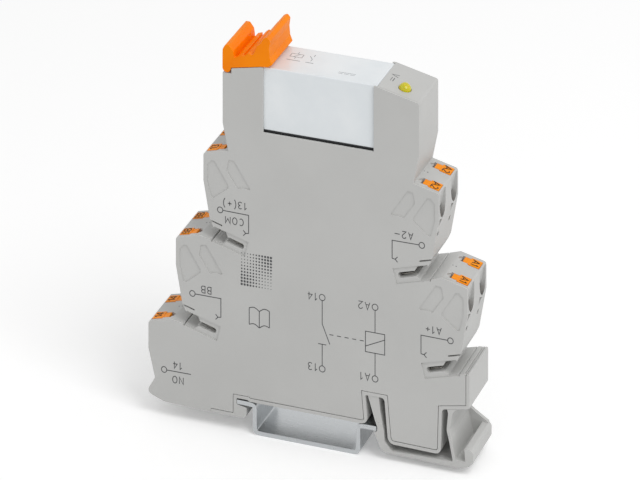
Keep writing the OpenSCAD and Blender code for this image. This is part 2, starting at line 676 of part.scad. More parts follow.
module clamp_spring(i, r) {
    color("#d5d8da") at_slope(i, row_place(r)) across(-label_w / 2, label_w / 2)
        polygon(ribbon([for (p = spring_path) p], spring_t));
}
spring_base = bar_n + bar_t / 2 + spring_t / 2 + metal_gap / 2;
spring_right = chamber[1][0] - spring_t / 2 - metal_gap;
spring_foot = 3;
spring_back = 1.7;
spring_knee = 1.8;
spring_top = chamber_top - wall_t;
leg_tip = [chamber[0][0] * 1.6, spring_base + spring_t];
leg_top = [spring_right - spring_back, spring_top];
leg_bend = leg_top - [small_r, small_r];
spring_path = [[spring_right - spring_foot, spring_base], [spring_right, spring_base],
    [spring_right, chamber_top - spring_knee], [spring_right - edge_r, spring_top + pad_d],
    leg_top + [over, pad_d], leg_bend, leg_tip];

leg_dir = unit(leg_tip - leg_bend);
function leg_n(u) = leg_tip[1] + (u - leg_tip[0]) * leg_dir[1] / leg_dir[0]
    + (spring_t / 2 + small_r) / abs(leg_dir[0]);
module button(i, r) {
    color(orange) at_slope(i, row_place(r)) {
        across(-neck_w / 2, neck_w / 2) polygon([[button_in, 0], [stem_u1, 0],
            [stem_u1, leg_n(stem_u1)], [stem_u0, leg_n(stem_u0)],
            [stem_u0, -label_h], [button_in, -label_h]]);
        difference() {
            dish_r = label_w * 2;
            box([button_in, -label_w / 2, -label_h], [button_in + label_l, label_w / 2, pad_d / 2]);
            translate([button_in + label_l / 2, 0, over + dish_r])
                sphere(r = dish_r + over - pad_d / 4, $fn = 48);
        }
    }
}

// Sprung foot
leg_low = lip_x + 0.15 * lip_t;
leg_w = 1.75;
leg_in_x = leg_low - 0.45 * limb_t / 0.7;
leg_mid = [leg_x1 + leg_gap / 2, (notch_z + flex_z) / 2];
module foot_leaf_left() {
    color(grey) across(-half_t + small_r / 2, half_t) polygon([[leg_x0, notch_z], [leg_x1, notch_z],
        leg_mid, [leg_in_x + leg_w, flex_z], [leg_in_x, flex_z]]);
}
limb_mid = [limb_x - limb_t / 2, flex_z + 1.3 * lip_t];
limb_low_x = limb_x - limb_t / 14;
web_t = 1;
web_top = 0.85;
web_x = limb_low_x + 3 * limb_t;
function block_z(x) = notch_z + end_rise * (x - post_x1 - leg_gap / 2) / (end_x - post_x1 - leg_gap / 2);
module foot_leaf_right() {
    root_z = notch_z - wall_t * 0.7;
    color(grey) {
        across(-half_t, half_t) polygon([[limb_x - pad_d, block_z(limb_x - pad_d)],
            [limb_x + limb_t * 3, block_z(limb_x + limb_t * 3)],
            [limb_x + limb_t * 1.6, root_z + small_r], [limb_x + limb_t, root_z - wall_t],
            limb_mid + [limb_t, 0], [limb_low_x + limb_t, flex_z], [limb_low_x, flex_z], limb_mid,
            [limb_x, root_z]]);
        // Top corner of the web behind the screwdriver slot
        across(half_t - web_t, half_t) polygon([[limb_low_x + limb_t / 2, flex_z],
            [limb_low_x + limb_t * 0.8, flex_z + web_top], [limb_low_x + limb_t * 1.3, flex_z + web_top],
            [web_x, flex_z]]);
    }
}
foot_low = -foot_drop;
plate_z = foot_low + plate_t;
limb_end = limb_x + 1.2 * lip_t;
flap_t = 1.9;
flap_low = -4.3;
flap_top = -1.4;
module rail_foot() {
    catch_x = lip_x - catch_reach;
    color(grey) {
        across(-half_t, half_t) polygon(rounded([
            [leg_in_x, flex_z, 0], [leg_in_x + leg_w, flex_z, 0], [leg_low + leg_w, -lip_t, 0],
            [leg_low + leg_w + pad_d / 2, post_z + edge_r, 0], [post_x0 + notch_r, plate_z, edge_r],
            [limb_end, plate_z + small_r, small_r], [limb_low_x + limb_t * 0.4, 0, edge_r],
            [limb_low_x, flex_z, 0], [limb_low_x + limb_t, flex_z, 0],
            [limb_low_x + limb_t * 1.4, 0, edge_r], [limb_end + limb_t, flap_low, small_r],
            [flap_x - flap_t, flap_low, small_r], [flap_x - flap_t - small_r, flap_top + small_r, small_r],
            [flap_x - edge_r, flap_top, small_r], [flap_x, flap_top - edge_r, small_r],
            [flap_x, flap_low, edge_r],
            [flap_x - wall_t, plate_z - small_r, edge_r], [flap_x - limb_t * 5, foot_low, wall_t],
            [post_x0, foot_low + small_r, edge_r], [leg_low + wall_t, plate_z - small_r, edge_r],
            [catch_x, hook_z - small_r, small_r], [leg_low, hook_z, 0], [leg_low, -metal_gap, 0]]));
        // Web behind the screwdriver slot
        across(half_t - web_t, half_t) polygon([[limb_low_x + limb_t * 0.8, flex_z], [web_x, flex_z],
            [flap_x - edge_r, flap_top + small_r], [flap_x - wall_t, flap_low],
            [limb_end, flap_low - small_r],
            [limb_low_x + limb_t * 0.8, -lip_t]]);
    }
}

// Orange retaining bracket, as shares of its reach and height with a radius
bracket_shares = [[-0.094, 0, 0], [-0.094, 0.5, 0.4], [-0.04, 0.625, 0.4],
    [0.055, 0.625, 0.4], [0.15, 0.47, 0.3],
    [0.167, 0.305, 0.15], [0.4, 0.4, 0.1], [0.49, 0.49, 0.2], [0.575, 0.455, 0.2], [0.63, 0.56, 0.2],
    [0.68, 0.735, 0.3], [0.775, 0.845, 0.3], [0.83, 0.97, 0.3], [0.915, 1.025, 0.35], [0.98, 0.93, 0.35],
    [0.957, 0.7, 0.3], [0.975, 0.45, 0.3], [1.03, 0.28, 0.2], [0.94, 0.2, 0.2]];
// Grooves behind the bracket's front web, from share to share of its reach, with their floor's share
groove_shares = [[0.163, 0.235, 0.24], [0.345, 0.42, 0.31]];
module retaining_bracket() {
    lift = relay_gap * 1.6;
    front_web = 1;
    color(orange) difference() {
        union() {
            across(-half_t, half_t) translate([-hinge_x, hinge_z])
                polygon(rounded(concat([for (p = bracket_shares) [p[0] * nose_reach, p[1] * ridge_h, p[2]]],
                    [[relay_x0 + hinge_x, hinge_drop + lift, small_r],
                     [step_x + hinge_x, hinge_drop - column_drop + lift, small_r], [0, 0, 0]])));
            translate([-hinge_x, half_t, hinge_z]) rotate([90, 0, 0]) cylinder(h = module_t, r = lobe_r);
        }
        translate([-hinge_x, ear_half + relay_gap, hinge_z]) rotate([90, 0, 0])
            cylinder(h = 2 * (ear_half + relay_gap), r = lobe_r + relay_gap * 2);
        translate([-hinge_x, half_t - wall_t * 0.8, hinge_z]) rotate([90, 0, 0])
            cylinder(h = module_t - wall_t * 1.6, r = hinge_pin_r);
        for (g = groove_shares) translate([-hinge_x, 0, hinge_z])
            box([nose_reach * g[0], -half_t + front_web, ridge_h * g[2]],
                [nose_reach * g[1], half_t + over, ridge_h]);
    }
}
module bracket_pin() {
    color("#a9acae") translate([-hinge_x, half_t - wall_t * 0.8, hinge_z]) rotate([90, 0, 0])
        cylinder(h = module_t - wall_t * 1.6, r = hinge_pin_r);
}

// Plug-in relay
relay_z0 = pocket_z + 2 * relay_gap;
relay_top = relay_z0 + relay_h;
half_r = relay_t / 2;
in_x0 = relay_x0 + case_t;
in_x1 = relay_x1 - case_t;
in_y = half_r - case_t;
deck_z = relay_z0 + base_t;
coil_in = 10.73;
coil_end = 2.6;
coil_x0 = relay_x0 + coil_in;
coil_x1 = relay_x1 - coil_end;
flange_t = 0.9;
core_r = 1.9;
coil_r = 0.28 * relay_h;
barrel_t = 0.6;
barrel_r = core_r + barrel_t;
pole_t = 0.7;
yoke_t = 1;
yoke_z = deck_z + yoke_t / 4;
pivot_in = 0.9;
pivot_x = coil_x0 - pivot_in;
pivot_z = yoke_z + yoke_t / 2;
coil_z = yoke_z + yoke_t + coil_r + pole_t;
module relay_case() {
    color("#eef1f2") difference() {
        across(-half_r, half_r) polygon(rounded(
            [[relay_x0, relay_z0 + base_t * 0.6, 0], [relay_x0, relay_top, small_r],
            [relay_x1, relay_top, small_r], [relay_x1, relay_z0 + base_t * 0.6, 0]]));
        box([in_x0, -in_y, relay_z0], [in_x1, in_y, relay_top - case_t]);
    }
}
module relay_base() {
    color("#2c2d2f") difference() {
        union() {
            box([relay_x0 + small_r, -half_r + small_r, relay_z0],
                [relay_x1 - small_r, half_r - small_r, relay_z0 + base_t * 0.55]);
            box([in_x0 + relay_gap, -in_y + relay_gap, relay_z0],
                [in_x1 - relay_gap, in_y - relay_gap, deck_z]);
        }
        for (x = socket_x) box([x - pin_w / 2, -pin_t / 2, relay_z0 - over],
            [x + pin_w / 2, pin_t / 2, deck_z + over]);
        for (y = [-coil_pin_y, coil_pin_y]) box([coil_pin_x - pin_w / 2, y - pin_t / 2, relay_z0 - over],
            [coil_pin_x + pin_w / 2, y + pin_t / 2, deck_z + over]);
    }
}
module along_coil(x0, x1, r) {
    translate([x0, 0, coil_z]) rotate([0, 90, 0]) cylinder(h = x1 - x0, r = r);
}
module coil_bobbin() {
    half = coil_r + small_r;
    color("#e9e6dc") difference() {
        union() {
            along_coil(coil_x0, coil_x1, barrel_r);
            for (x = [coil_x0, coil_x1 - flange_t])
                box([x, -half, coil_z - half], [x + flange_t, half, coil_z + half]);
        }
        along_coil(coil_x0 - over, coil_x1 + over, core_r);
    }
}
module coil_winding() {
    color("#b8672c") difference() {
        along_coil(coil_x0 + flange_t, coil_x1 - flange_t, coil_r);
        along_coil(coil_x0, coil_x1, barrel_r);
    }
}
module coil_core() {
    color("#8d9093") {
        along_coil(coil_x0 - pole_t, coil_x0, core_r * 1.5);
        along_coil(coil_x0 - pole_t / 2, coil_x1 + relay_gap, core_r);
    }
}
module coil_yoke() {
    half = coil_r;
    x1 = coil_x1 + relay_gap;
    color("#8d9093") {
        box([pivot_x + over, -half, yoke_z], [x1 + yoke_t, half, yoke_z + yoke_t]);
        box([x1, -half, yoke_z], [x1 + yoke_t, half, coil_z + coil_r]);
    }
}
module relay_pin(x, y, top) {
    box([x - pin_w / 2, y - pin_t / 2, relay_z0 - pin_l], [x + pin_w / 2, y + pin_t / 2, top]);
}
// Contact heights in the relay
spring_lift = 0.55;
spring_z = pivot_z + spring_lift;
contact_arm = 6;
contact_x = pivot_x - contact_arm;
contact_r = 1;
contact_h = 0.75;
contact_gap = 0.4;
module com_terminal() {
    color("#c9803f") {
        relay_pin(socket_x[1], 0, deck_z);
        box([socket_x[1] - pin_w, -pin_w, deck_z], [socket_x[1] + pin_w * 0.8, pin_w, deck_z + small_r / 2]);
    }
}
module fixed_contact() {
    bar = 0.5;
    top = spring_z + contact_h + contact_gap + contact_h / 2 + bar / 2;
    side_x = in_x0 + bar + relay_gap;
    color("#c9803f") {
        relay_pin(socket_x[0], 0, deck_z);
        across(-pin_w, pin_w) polygon(ribbon([[socket_x[0] + pin_w / 2, deck_z + bar / 2],
            [side_x, deck_z + bar / 2],
            [side_x, top], [contact_x + contact_r, top]], bar));
        translate([contact_x, 0, top - bar / 2 - contact_h / 2]) cylinder(h = contact_h / 2, r = contact_r);
    }
}
module coil_pins() {
    color("#c9803f") for (y = [-coil_pin_y, coil_pin_y]) relay_pin(coil_pin_x, y, deck_z);
}
armature_t = 0.9;
pole_gap = 0.5;
arm_x1 = coil_x0 - pole_t - pole_gap;
knee_t = 0.75;
leaf_t = 0.3;
module armature() {
    half = coil_r;
    color("#8d9093") {
        box([arm_x1 - armature_t, -half, pivot_z + knee_t], [arm_x1, half, coil_z + core_r * 1.6]);
        translate([pivot_x, half, pivot_z]) rotate([90, 0, 0]) cylinder(h = 2 * half, r = armature_t / 2);
        box([arm_x1 - armature_t, -half, pivot_z - pad_d], [pivot_x, half, pivot_z + knee_t]);
    }
}
module contact_spring() {
    color("#d5d8da") box([contact_x - contact_r, -contact_r * 1.4, spring_z - leaf_t],
        [arm_x1 - armature_t, contact_r * 1.4, spring_z]);
}
module moving_contact() {
    color("#e3e5e6") translate([contact_x, 0, spring_z]) cylinder(h = contact_h, r = contact_r);
}

// Electronics
stand_x = boss_r * 1.5;
module control_board() {
    color("#2f6b45") {
        box([board_x0, board_y, board_z0], [board_x1, board_y + board_t, board_z1]);
        for (x = [board_x0 + stand_x, board_x1 - stand_x], z = [board_z0 + stand_x, board_z1 - boss_r * 4])
            translate([x, back_y, z]) rotate([90, 0, 0])
                cylinder(h = back_y - board_y - board_t, r = boss_r * 0.8);
    }
}
rectifier_l = 6;
rectifier_h = 4.6;
rectifier_t = 2.2;
rectifier_in = 1.5;
rectifier_leg = 0.9;
module bridge_rectifier() {
    x = board_x1 - rectifier_l - rectifier_in;
    z = (board_z0 + board_z1) / 2;
    color("#222325") {
        box([x, board_y - rectifier_t, z], [x + rectifier_l, board_y - 0.15 * rectifier_t, z + rectifier_h]);
        for (k = [0:3])
            box([x + rectifier_l * (0.1 + 0.25 * k), board_y - rectifier_t / 2, z - rectifier_leg],
            [x + rectifier_l * (0.18 + 0.25 * k), board_y, z + small_r]);
    }
}
lead_r = 0.3;
module axial_part(x, z, l, r, tone) {
    color(tone) translate([x, board_y - r - small_r, z]) {
        cylinder(h = l, r = r);
        for (k = [0, 1]) {
            translate([0, 0, k == 0 ? -4 * lead_r : l]) cylinder(h = 4 * lead_r, r = lead_r);
            translate([0, 0, k == 0 ? -4 * lead_r : l + 4 * lead_r]) {
                rotate([-90, 0, 0]) cylinder(h = r + small_r, r = lead_r);
                sphere(r = lead_r);
            }
        }
    }
}
diode_l = 4.2;
diode_r = 1.15;
resistor_l = 6.4;
resistor_r = 1.2;
part_rise = 4.5;
part_in = 0.29 * (board_x1 - board_x0);
module flyback_diode() {
    axial_part(board_x0 + part_in * 2, board_z0 + part_rise, diode_l, diode_r, "#2a2b2d");
}
module series_resistor() {
    axial_part(board_x0 + part_in, board_z0 + part_rise, resistor_l, resistor_r, "#6fa8b8");
}
capacitor_r = 2.6;
capacitor_h = 5.5;
capacitor_rise = 25.5;
module filter_capacitor() {
    color("#3a3f58") translate([board_x0 + part_in, board_y, board_z0 + capacitor_rise]) rotate([90, 0, 0])
        cylinder(h = capacitor_h, r = capacitor_r);
}
lamp_sink = 0.15;
lamp_body = lamp_r * 2.6;
module indicator_lamp() {
    color("#c4ca1c") at_lamp() {
        translate([0, 0, -lamp_body]) cylinder(h = lamp_body - lamp_sink, r = lamp_r);
        translate([0, 0, -lamp_sink]) difference() {
            sphere(r = lamp_r);
            translate([0, 0, -lamp_r * 2]) cylinder(h = lamp_r * 2 - lamp_r * 0.1, r = lamp_r * 2);
        }
        translate([0, 0, -lamp_body]) cylinder(h = lamp_r * 0.5, r = lamp_r + small_r);
    }
}
wire_t = 0.5;
wire_pitch = 1.3;
wire_bend = 2;
wire_rise = 1.5;
wire_ends = [board_x1 - 2 * wire_rise, board_x1 - wire_rise + small_r];
module lamp_leads() {
    top = lamp_z - lamp_body - metal_gap;
    low = board_z1 - arm_w * 1.2;
    color("#d5d8da") for (k = [0, 1]) {
        x = lamp_x - lamp_r * 0.92 + k * wire_pitch;
        across(lamp_y - wire_t / 2, lamp_y + wire_t / 2)
            polygon(ribbon([[x, top], [x, tower_taper_z - wire_bend * k],
                            [wire_ends[k], tier_top + wire_rise - k * wire_t * 2],
                            [wire_ends[k], low]], wire_t));
        box([wire_ends[k] - wire_t / 2, lamp_y - wire_t / 2, low - wire_t],
            [wire_ends[k] + wire_t / 2, board_y, low + wire_t / 5]);
    }
}

housing_shell();
side_cover();
foot_leaf_left();
foot_leaf_right();
rail_foot();
retaining_bracket();
bracket_pin();
relay_case();
relay_base();
coil_bobbin();
coil_winding();
coil_core();
coil_yoke();
com_terminal();
fixed_contact();
coil_pins();
armature();
contact_spring();
moving_contact();
coil_socket();
control_board();
bridge_rectifier();
flyback_diode();
series_resistor();
filter_capacitor();
indicator_lamp();
lamp_leads();
for (i = [0:4]) busbar(i);
for (i = [0:4], r = [0, 1])
    clamp_spring(i, r);
for (i = [0:4], r = [0, 1])
    button(i, r);
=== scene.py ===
"""Looks of a slim interface relay: moulded grey housing, orange parts, plug-in relay, prints and studio.

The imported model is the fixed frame. Every visible moulding is a softened copy of its solid, with rounded
edges and a procedural finish. All sizes are in millimetres until a mesh is made, which is in metres.
"""

from __future__ import annotations

import logging
import math
from abc import ABC, abstractmethod
from dataclasses import dataclass
from enum import Enum
from typing import Any, Sequence

import bmesh
import bpy
import numpy as np
from mathutils import Matrix, Vector

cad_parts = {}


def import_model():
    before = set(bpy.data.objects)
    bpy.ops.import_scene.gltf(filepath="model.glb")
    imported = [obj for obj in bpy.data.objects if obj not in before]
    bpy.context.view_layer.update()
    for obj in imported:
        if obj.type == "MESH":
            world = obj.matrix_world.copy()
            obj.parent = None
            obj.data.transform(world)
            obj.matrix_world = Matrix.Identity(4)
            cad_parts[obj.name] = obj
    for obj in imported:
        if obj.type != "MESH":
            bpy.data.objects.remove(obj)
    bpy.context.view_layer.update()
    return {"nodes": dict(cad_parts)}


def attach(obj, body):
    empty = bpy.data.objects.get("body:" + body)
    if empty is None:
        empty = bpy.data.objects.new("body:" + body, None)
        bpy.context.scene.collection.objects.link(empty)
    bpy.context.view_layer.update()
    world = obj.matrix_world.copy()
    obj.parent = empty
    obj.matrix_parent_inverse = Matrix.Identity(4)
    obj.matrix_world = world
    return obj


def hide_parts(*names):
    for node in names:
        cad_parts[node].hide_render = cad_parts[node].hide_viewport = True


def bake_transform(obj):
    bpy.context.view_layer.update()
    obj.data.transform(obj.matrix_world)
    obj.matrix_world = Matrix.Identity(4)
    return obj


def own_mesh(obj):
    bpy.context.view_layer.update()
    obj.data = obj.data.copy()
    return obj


LOG = logging.getLogger("relay")
MM = 0.001
Point = tuple[float, float]
Place = tuple[float, float, float]
Nodes = dict[str, bpy.types.Object]


class Side(Enum):
    """Which end of the module a terminal tier is on."""

    LEFT = -1
    RIGHT = 1


class Row(Enum):
    """Which of the two terminal rows a piece is in."""

    FRONT = "front"
    REAR = "rear"


class Slot(Enum):
    """The record's material slots, one for each kind of new piece."""

    HOUSING = "grey_housing"
    ORANGE = "orange_plastic"
    RELAY_WHITE = "relay_white"
    RELAY_BLACK = "relay_black"
    SPRING = "spring_steel"


def linear(hex_colour: str) -> tuple[float, float, float, float]:
    """Turns an sRGB hex colour to linear light, by the sRGB standard's curve.

    Args:
        hex_colour: Colour such as "#b7b7b5".

    Returns:
        Red, green and blue in linear light, and full opacity.
    """
    parts = [int(hex_colour[i:i + 2], 16) / 255 for i in (1, 3, 5)]
    values = [v / 12.92 if v <= 0.04045 else ((v + 0.055) / 1.055) ** 2.4 for v in parts]
    return (values[0], values[1], values[2], 1.0)


def node(tree: bpy.types.NodeTree, kind: str, inputs: dict[Any, Any] | None = None,
         **settings: Any) -> bpy.types.Node:
    """Adds a shader node with its settings, and its values or links.

    Args:
        tree: The node tree that gets the node.
        kind: Blender's name of the node type.
        inputs: Socket name or number to a value, or to the output socket it is linked from.
        settings: Attributes of the node itself.

    Returns:
        The new node.
    """
    made = tree.nodes.new(kind)
    for name, value in settings.items():
        setattr(made, name, value)
    for name, value in (inputs or {}).items():
        if isinstance(value, bpy.types.NodeSocket):
            tree.links.new(value, made.inputs[name])
        else:
            made.inputs[name].default_value = value
    return made


def new_material(name: str) -> tuple[bpy.types.Material, bpy.types.NodeTree]:
    """Makes an empty material with nodes.

    Args:
        name: The material's name.

    Returns:
        The material and its node tree.
    """
    material = bpy.data.materials.new(name)
    material.use_nodes = True
    material.node_tree.nodes.clear()
    return material, material.node_tree


@dataclass(frozen=True)
class MouldedPlastic:
    """A plastic moulded against a spark-eroded tool: fine even grain, no direction, soft sheen.

    The grain is 0.25 mm on the real part, too fine to show, so it is drawn a little coarser.
    """

    name: str
    colour: str
    shade: str
    roughness: float = 0.55
    grain_mm: float = 0.45
    grain_depth_mm: float = 0.012
    cloud_mm: float = 9.0
    coat: float = 0.0
    sheen: float = 0.5
    ior: float = 1.5
    cloud_stops: Point = (0.35, 0.65)
    grain_stops: Point = (0.3, 0.7)
    gloss_spread: float = 0.06
    relief: float = 0.35

    def build(self) -> bpy.types.Material:
        """Makes the material.

        Returns:
            Polyamide or like plastic with cloudy colour, uneven gloss and fine grain.
        """
        material, tree = new_material(self.name)
        place = node(tree, "ShaderNodeTexCoord").outputs["Object"]
        cloud = node(tree, "ShaderNodeTexNoise",
                     {"Vector": place, "Scale": 1 / (self.cloud_mm * MM), "Detail": 3.0})
        grain = node(tree, "ShaderNodeTexNoise",
                     {"Vector": place, "Scale": 1 / (self.grain_mm * MM), "Detail": 4.0, "Roughness": 0.6})
        tint = node(tree, "ShaderNodeValToRGB", {"Fac": cloud.outputs["Fac"]})
        for stop, colour, at in zip(tint.color_ramp.elements, (self.shade, self.colour), self.cloud_stops):
            stop.color, stop.position = linear(colour), at
        gloss = node(tree, "ShaderNodeMapRange",
                     {"Value": grain.outputs["Fac"],
                      "From Min": self.grain_stops[0], "From Max": self.grain_stops[1],
                      "To Min": self.roughness - self.gloss_spread,
                      "To Max": self.roughness + self.gloss_spread})
        bump = node(tree, "ShaderNodeBump", {"Height": grain.outputs["Fac"], "Strength": self.relief,
                                             "Distance": self.grain_depth_mm * MM})
        shader = node(tree, "ShaderNodeBsdfPrincipled",
                      {"Base Color": tint.outputs["Color"],
                       "Roughness": gloss.outputs["Result"], "Normal": bump.outputs["Normal"],
                       "IOR": self.ior, "Coat Weight": self.coat, "Specular IOR Level": self.sheen})
        node(tree, "ShaderNodeOutputMaterial", {"Surface": shader.outputs["BSDF"]})
        return material


@dataclass(frozen=True)
class BareMetal:
    """A rolled and stamped metal strip: fine lines along the rolling direction and a broken reflection.

    The lines are far longer than they are wide, so the pattern is drawn long and then squeezed across.
    """

    name: str
    colour: str
    roughness: float = 0.3
    line_mm: float = 0.12
    long_share: float = 10.0
    squeeze: Place = (1.0, 14.0, 1.0)
    gloss_span: Point = (0.08, 0.12)
    relief: float = 0.2
    relief_mm: float = 0.01

    def build(self) -> bpy.types.Material:
        """Makes the material.

        Returns:
            Metal with rolled lines in its gloss and relief.
        """
        material, tree = new_material(self.name)
        place = node(tree, "ShaderNodeTexCoord").outputs["Object"]
        turn = node(tree, "ShaderNodeMapping", {"Vector": place, "Scale": self.squeeze})
        lines = node(tree, "ShaderNodeTexNoise",
                     {"Vector": turn.outputs["Vector"], "Scale": 1 / (self.long_share * self.line_mm * MM),
                      "Detail": 3.0})
        gloss = node(tree, "ShaderNodeMapRange",
                     {"Value": lines.outputs["Fac"], "To Min": self.roughness - self.gloss_span[0],
                      "To Max": self.roughness + self.gloss_span[1]})
        bump = node(tree, "ShaderNodeBump", {"Height": lines.outputs["Fac"], "Strength": self.relief,
                                             "Distance": self.relief_mm * MM})
        shader = node(tree, "ShaderNodeBsdfPrincipled",
                      {"Base Color": linear(self.colour), "Metallic": 1.0,
                       "Roughness": gloss.outputs["Result"], "Normal": bump.outputs["Normal"]})
        node(tree, "ShaderNodeOutputMaterial", {"Surface": shader.outputs["BSDF"]})
        return material


@dataclass(frozen=True)
class TintedLens:
    """The lamp's cast epoxy dome: tinted right through, polished, with a cloudy diffuser."""

    name: str
    colour: str
    core: str
    clearness: float = 0.12
    milkiness: float = 0.4
    milk_depth_mm: float = 0.8
    cloud_mm: float = 1.2
    roughness: float = 0.2
    coat: float = 0.1
    ior: float = 1.5

    def build(self) -> bpy.types.Material:
        """Makes the material.

        Returns:
            Yellow-green epoxy, part clear and part milky.
        """
        material, tree = new_material(self.name)
        place = node(tree, "ShaderNodeTexCoord").outputs["Object"]
        cloud = node(tree, "ShaderNodeTexNoise",
                     {"Vector": place, "Scale": 1 / (self.cloud_mm * MM), "Detail": 2.0})
        ramp = node(tree, "ShaderNodeValToRGB", {"Fac": cloud.outputs["Fac"]})
        ramp.color_ramp.elements[0].color = linear(self.core)
        ramp.color_ramp.elements[1].color = linear(self.colour)
        shader = node(tree, "ShaderNodeBsdfPrincipled",
                      {"Base Color": ramp.outputs["Color"], "Roughness": self.roughness, "IOR": self.ior,
                       "Coat Weight": self.coat, "Transmission Weight": self.clearness,
                       "Subsurface Weight": self.milkiness, "Subsurface Scale": self.milk_depth_mm * MM})
        node(tree, "ShaderNodeOutputMaterial", {"Surface": shader.outputs["BSDF"]})
        return material


@dataclass(frozen=True)
class PadInk:
    """Pad-printed or laser-marked ink: flat, matt and slightly broken at its edges by the grain below."""

    name: str
    colour: str
    worn: str
    speck_mm: float = 0.3
    full_until: float = 0.45
    roughness: float = 0.7

    def build(self) -> bpy.types.Material:
        """Makes the material.

        Returns:
            Matt ink with a little unevenness.
        """
        material, tree = new_material(self.name)
        place = node(tree, "ShaderNodeTexCoord").outputs["Object"]
        speck = node(tree, "ShaderNodeTexNoise",
                     {"Vector": place, "Scale": 1 / (self.speck_mm * MM), "Detail": 4.0})
        ramp = node(tree, "ShaderNodeValToRGB", {"Fac": speck.outputs["Fac"]})
        ramp.color_ramp.elements[0].color = linear(self.colour)
        ramp.color_ramp.elements[0].position = self.full_until
        ramp.color_ramp.elements[1].color = linear(self.worn)
        shader = node(tree, "ShaderNodeBsdfPrincipled",
                      {"Base Color": ramp.outputs["Color"], "Roughness": self.roughness})
        node(tree, "ShaderNodeOutputMaterial", {"Surface": shader.outputs["BSDF"]})
        return material


@dataclass(frozen=True)
class GlassFibreBoard:
    """Glass-fibre board under green lacquer: the weave shows faintly as a fine check, 0.6 mm apart."""

    name: str
    colour: str
    thread: str
    weave_mm: float = 0.6
    roughness: float = 0.3
    coat: float = 0.5

    def build(self) -> bpy.types.Material:
        """Makes the material.

        Returns:
            Green lacquer with a faint weave.
        """
        material, tree = new_material(self.name)
        place = node(tree, "ShaderNodeTexCoord").outputs["Object"]
        weave = node(tree, "ShaderNodeTexChecker",
                     {"Vector": place, "Scale": 1 / (self.weave_mm * MM),
                      "Color1": linear(self.colour), "Color2": linear(self.thread)})
        shader = node(tree, "ShaderNodeBsdfPrincipled",
                      {"Base Color": weave.outputs["Color"], "Roughness": self.roughness,
                       "Coat Weight": self.coat})
        node(tree, "ShaderNodeOutputMaterial", {"Surface": shader.outputs["BSDF"]})
        return material


class Finish(Enum):
    """The finishes of this object, each with the recipe of its material."""

    HOUSING = MouldedPlastic("grey_polyamide_moulded", "#c2c2c0", "#bebebc", 0.52, cloud_mm=14)
    COVER = MouldedPlastic("grey_polyamide_cover", "#c2c2c0", "#bebebc", 0.5, cloud_mm=18)
    ORANGE = MouldedPlastic("orange_polyamide_moulded", "#ff8c00", "#fa8400", 0.42, cloud_mm=6, sheen=0.12)
    # Painted light: a lighter, yellower copy of the orange plastic, for the buttons' brightly lit tops
    BUTTON = MouldedPlastic("orange_lit_copy_for_buttons", "#ff9a0c", "#fc9106", 0.4, cloud_mm=4, sheen=0.15)
    RELAY_CASE = MouldedPlastic("white_polyester_case", "#e9edef", "#e2e7ea", 0.34, grain_depth_mm=0.005,
                                coat=0.2)
    RELAY_BASE = MouldedPlastic("black_polyester_base", "#2f3032", "#28292b", 0.5)
    BOBBIN = MouldedPlastic("natural_nylon_bobbin", "#e9e6dc", "#ddd9cc", 0.45)
    BLACK_PART = MouldedPlastic("black_epoxy_package", "#2a2b2d", "#242527", 0.45)
    RESISTOR = MouldedPlastic("blue_lacquered_resistor", "#6fa8b8", "#6799a8", 0.35, coat=0.4)
    SLEEVE = MouldedPlastic("blue_shrink_sleeve", "#3a3f58", "#343950", 0.3, coat=0.3)
    TINNED_COPPER = BareMetal("tinned_copper_strip", "#b9b6b0", 0.36)
    COPPER = BareMetal("enamelled_copper_wire", "#b8672c", 0.3)
    SPRING_STEEL = BareMetal("spring_steel_strip", "#c9ccce", 0.26)
    SOFT_IRON = BareMetal("zinc_plated_iron", "#a2a5a8", 0.36)
    RAIL_STEEL = BareMetal("zinc_plated_rail", "#bcbfc1", 0.28, line_mm=0.3)
    LENS = TintedLens("tinted_epoxy_lens", "#e6dc12", "#cabf06")
    DARK_INK = PadInk("dark_pad_ink", "#4a4b4d", "#5c5d5e")
    PALE_INK = PadInk("grey_laser_mark", "#84888b", "#95989b")
    BLACK_INK = PadInk("black_button_ink", "#2c1d0c", "#3d2a12")
    BOARD = GlassFibreBoard("green_glass_fibre_board", "#2f6b45", "#38774f")

    def material(self) -> bpy.types.Material:
        """The finish's material, made on first use.

        Returns:
            The one material of this finish.
        """
        found = bpy.data.materials.get(self.value.name)
        return found or self.value.build()


@dataclass(frozen=True)
class Tier:
    """One terminal tier: its corner in the X-Z plane, and frames along its slope."""

    name: str
    label: str
    side: Side
    level: int
    slope_deg: float = 13.0
    left_x: float = -26.1
    right_x: float = 33.0
    top_z: float = 57.0
    pitch_x: float = 7.05
    left_pitch_z: float = 21.2
    right_pitch_z: float = 20.9
    row_y: float = 4.2

    @property
    def corner(self) -> Point:
        """Outer top corner of the tier in X and Z."""
        if self.side is Side.LEFT:
            return self.left_x - self.level * self.pitch_x, self.top_z - self.level * self.left_pitch_z
        return self.right_x + self.level * self.pitch_x, self.top_z - self.level * self.right_pitch_z

    @property
    def slope(self) -> float:
        """Slope of the tier's top in radians."""
        return math.radians(self.slope_deg)

    def y_of(self, row: Row) -> float:
        """Depth of a terminal row's middle."""
        return -self.row_y if row is Row.FRONT else self.row_y


TIERS = [Tier("13", "13", Side.LEFT, 0), Tier("bb", "BB", Side.LEFT, 1), Tier("14", "14", Side.LEFT, 2),
         Tier("a2", "A2", Side.RIGHT, 0), Tier("a1", "A1", Side.RIGHT, 1)]


def link(piece: bpy.types.Object) -> bpy.types.Object:
    """Puts an object in the scene."""
    bpy.context.scene.collection.objects.link(piece)
    return piece


def dress(piece: bpy.types.Object, finish: Finish) -> bpy.types.Object:
    """Gives a new piece its one material.

    Args:
        piece: The new piece.
        finish: What it is finished in.

    Returns:
        The same piece.
    """
    piece.data.materials.clear()
    piece.data.materials.append(finish.material())
    return piece


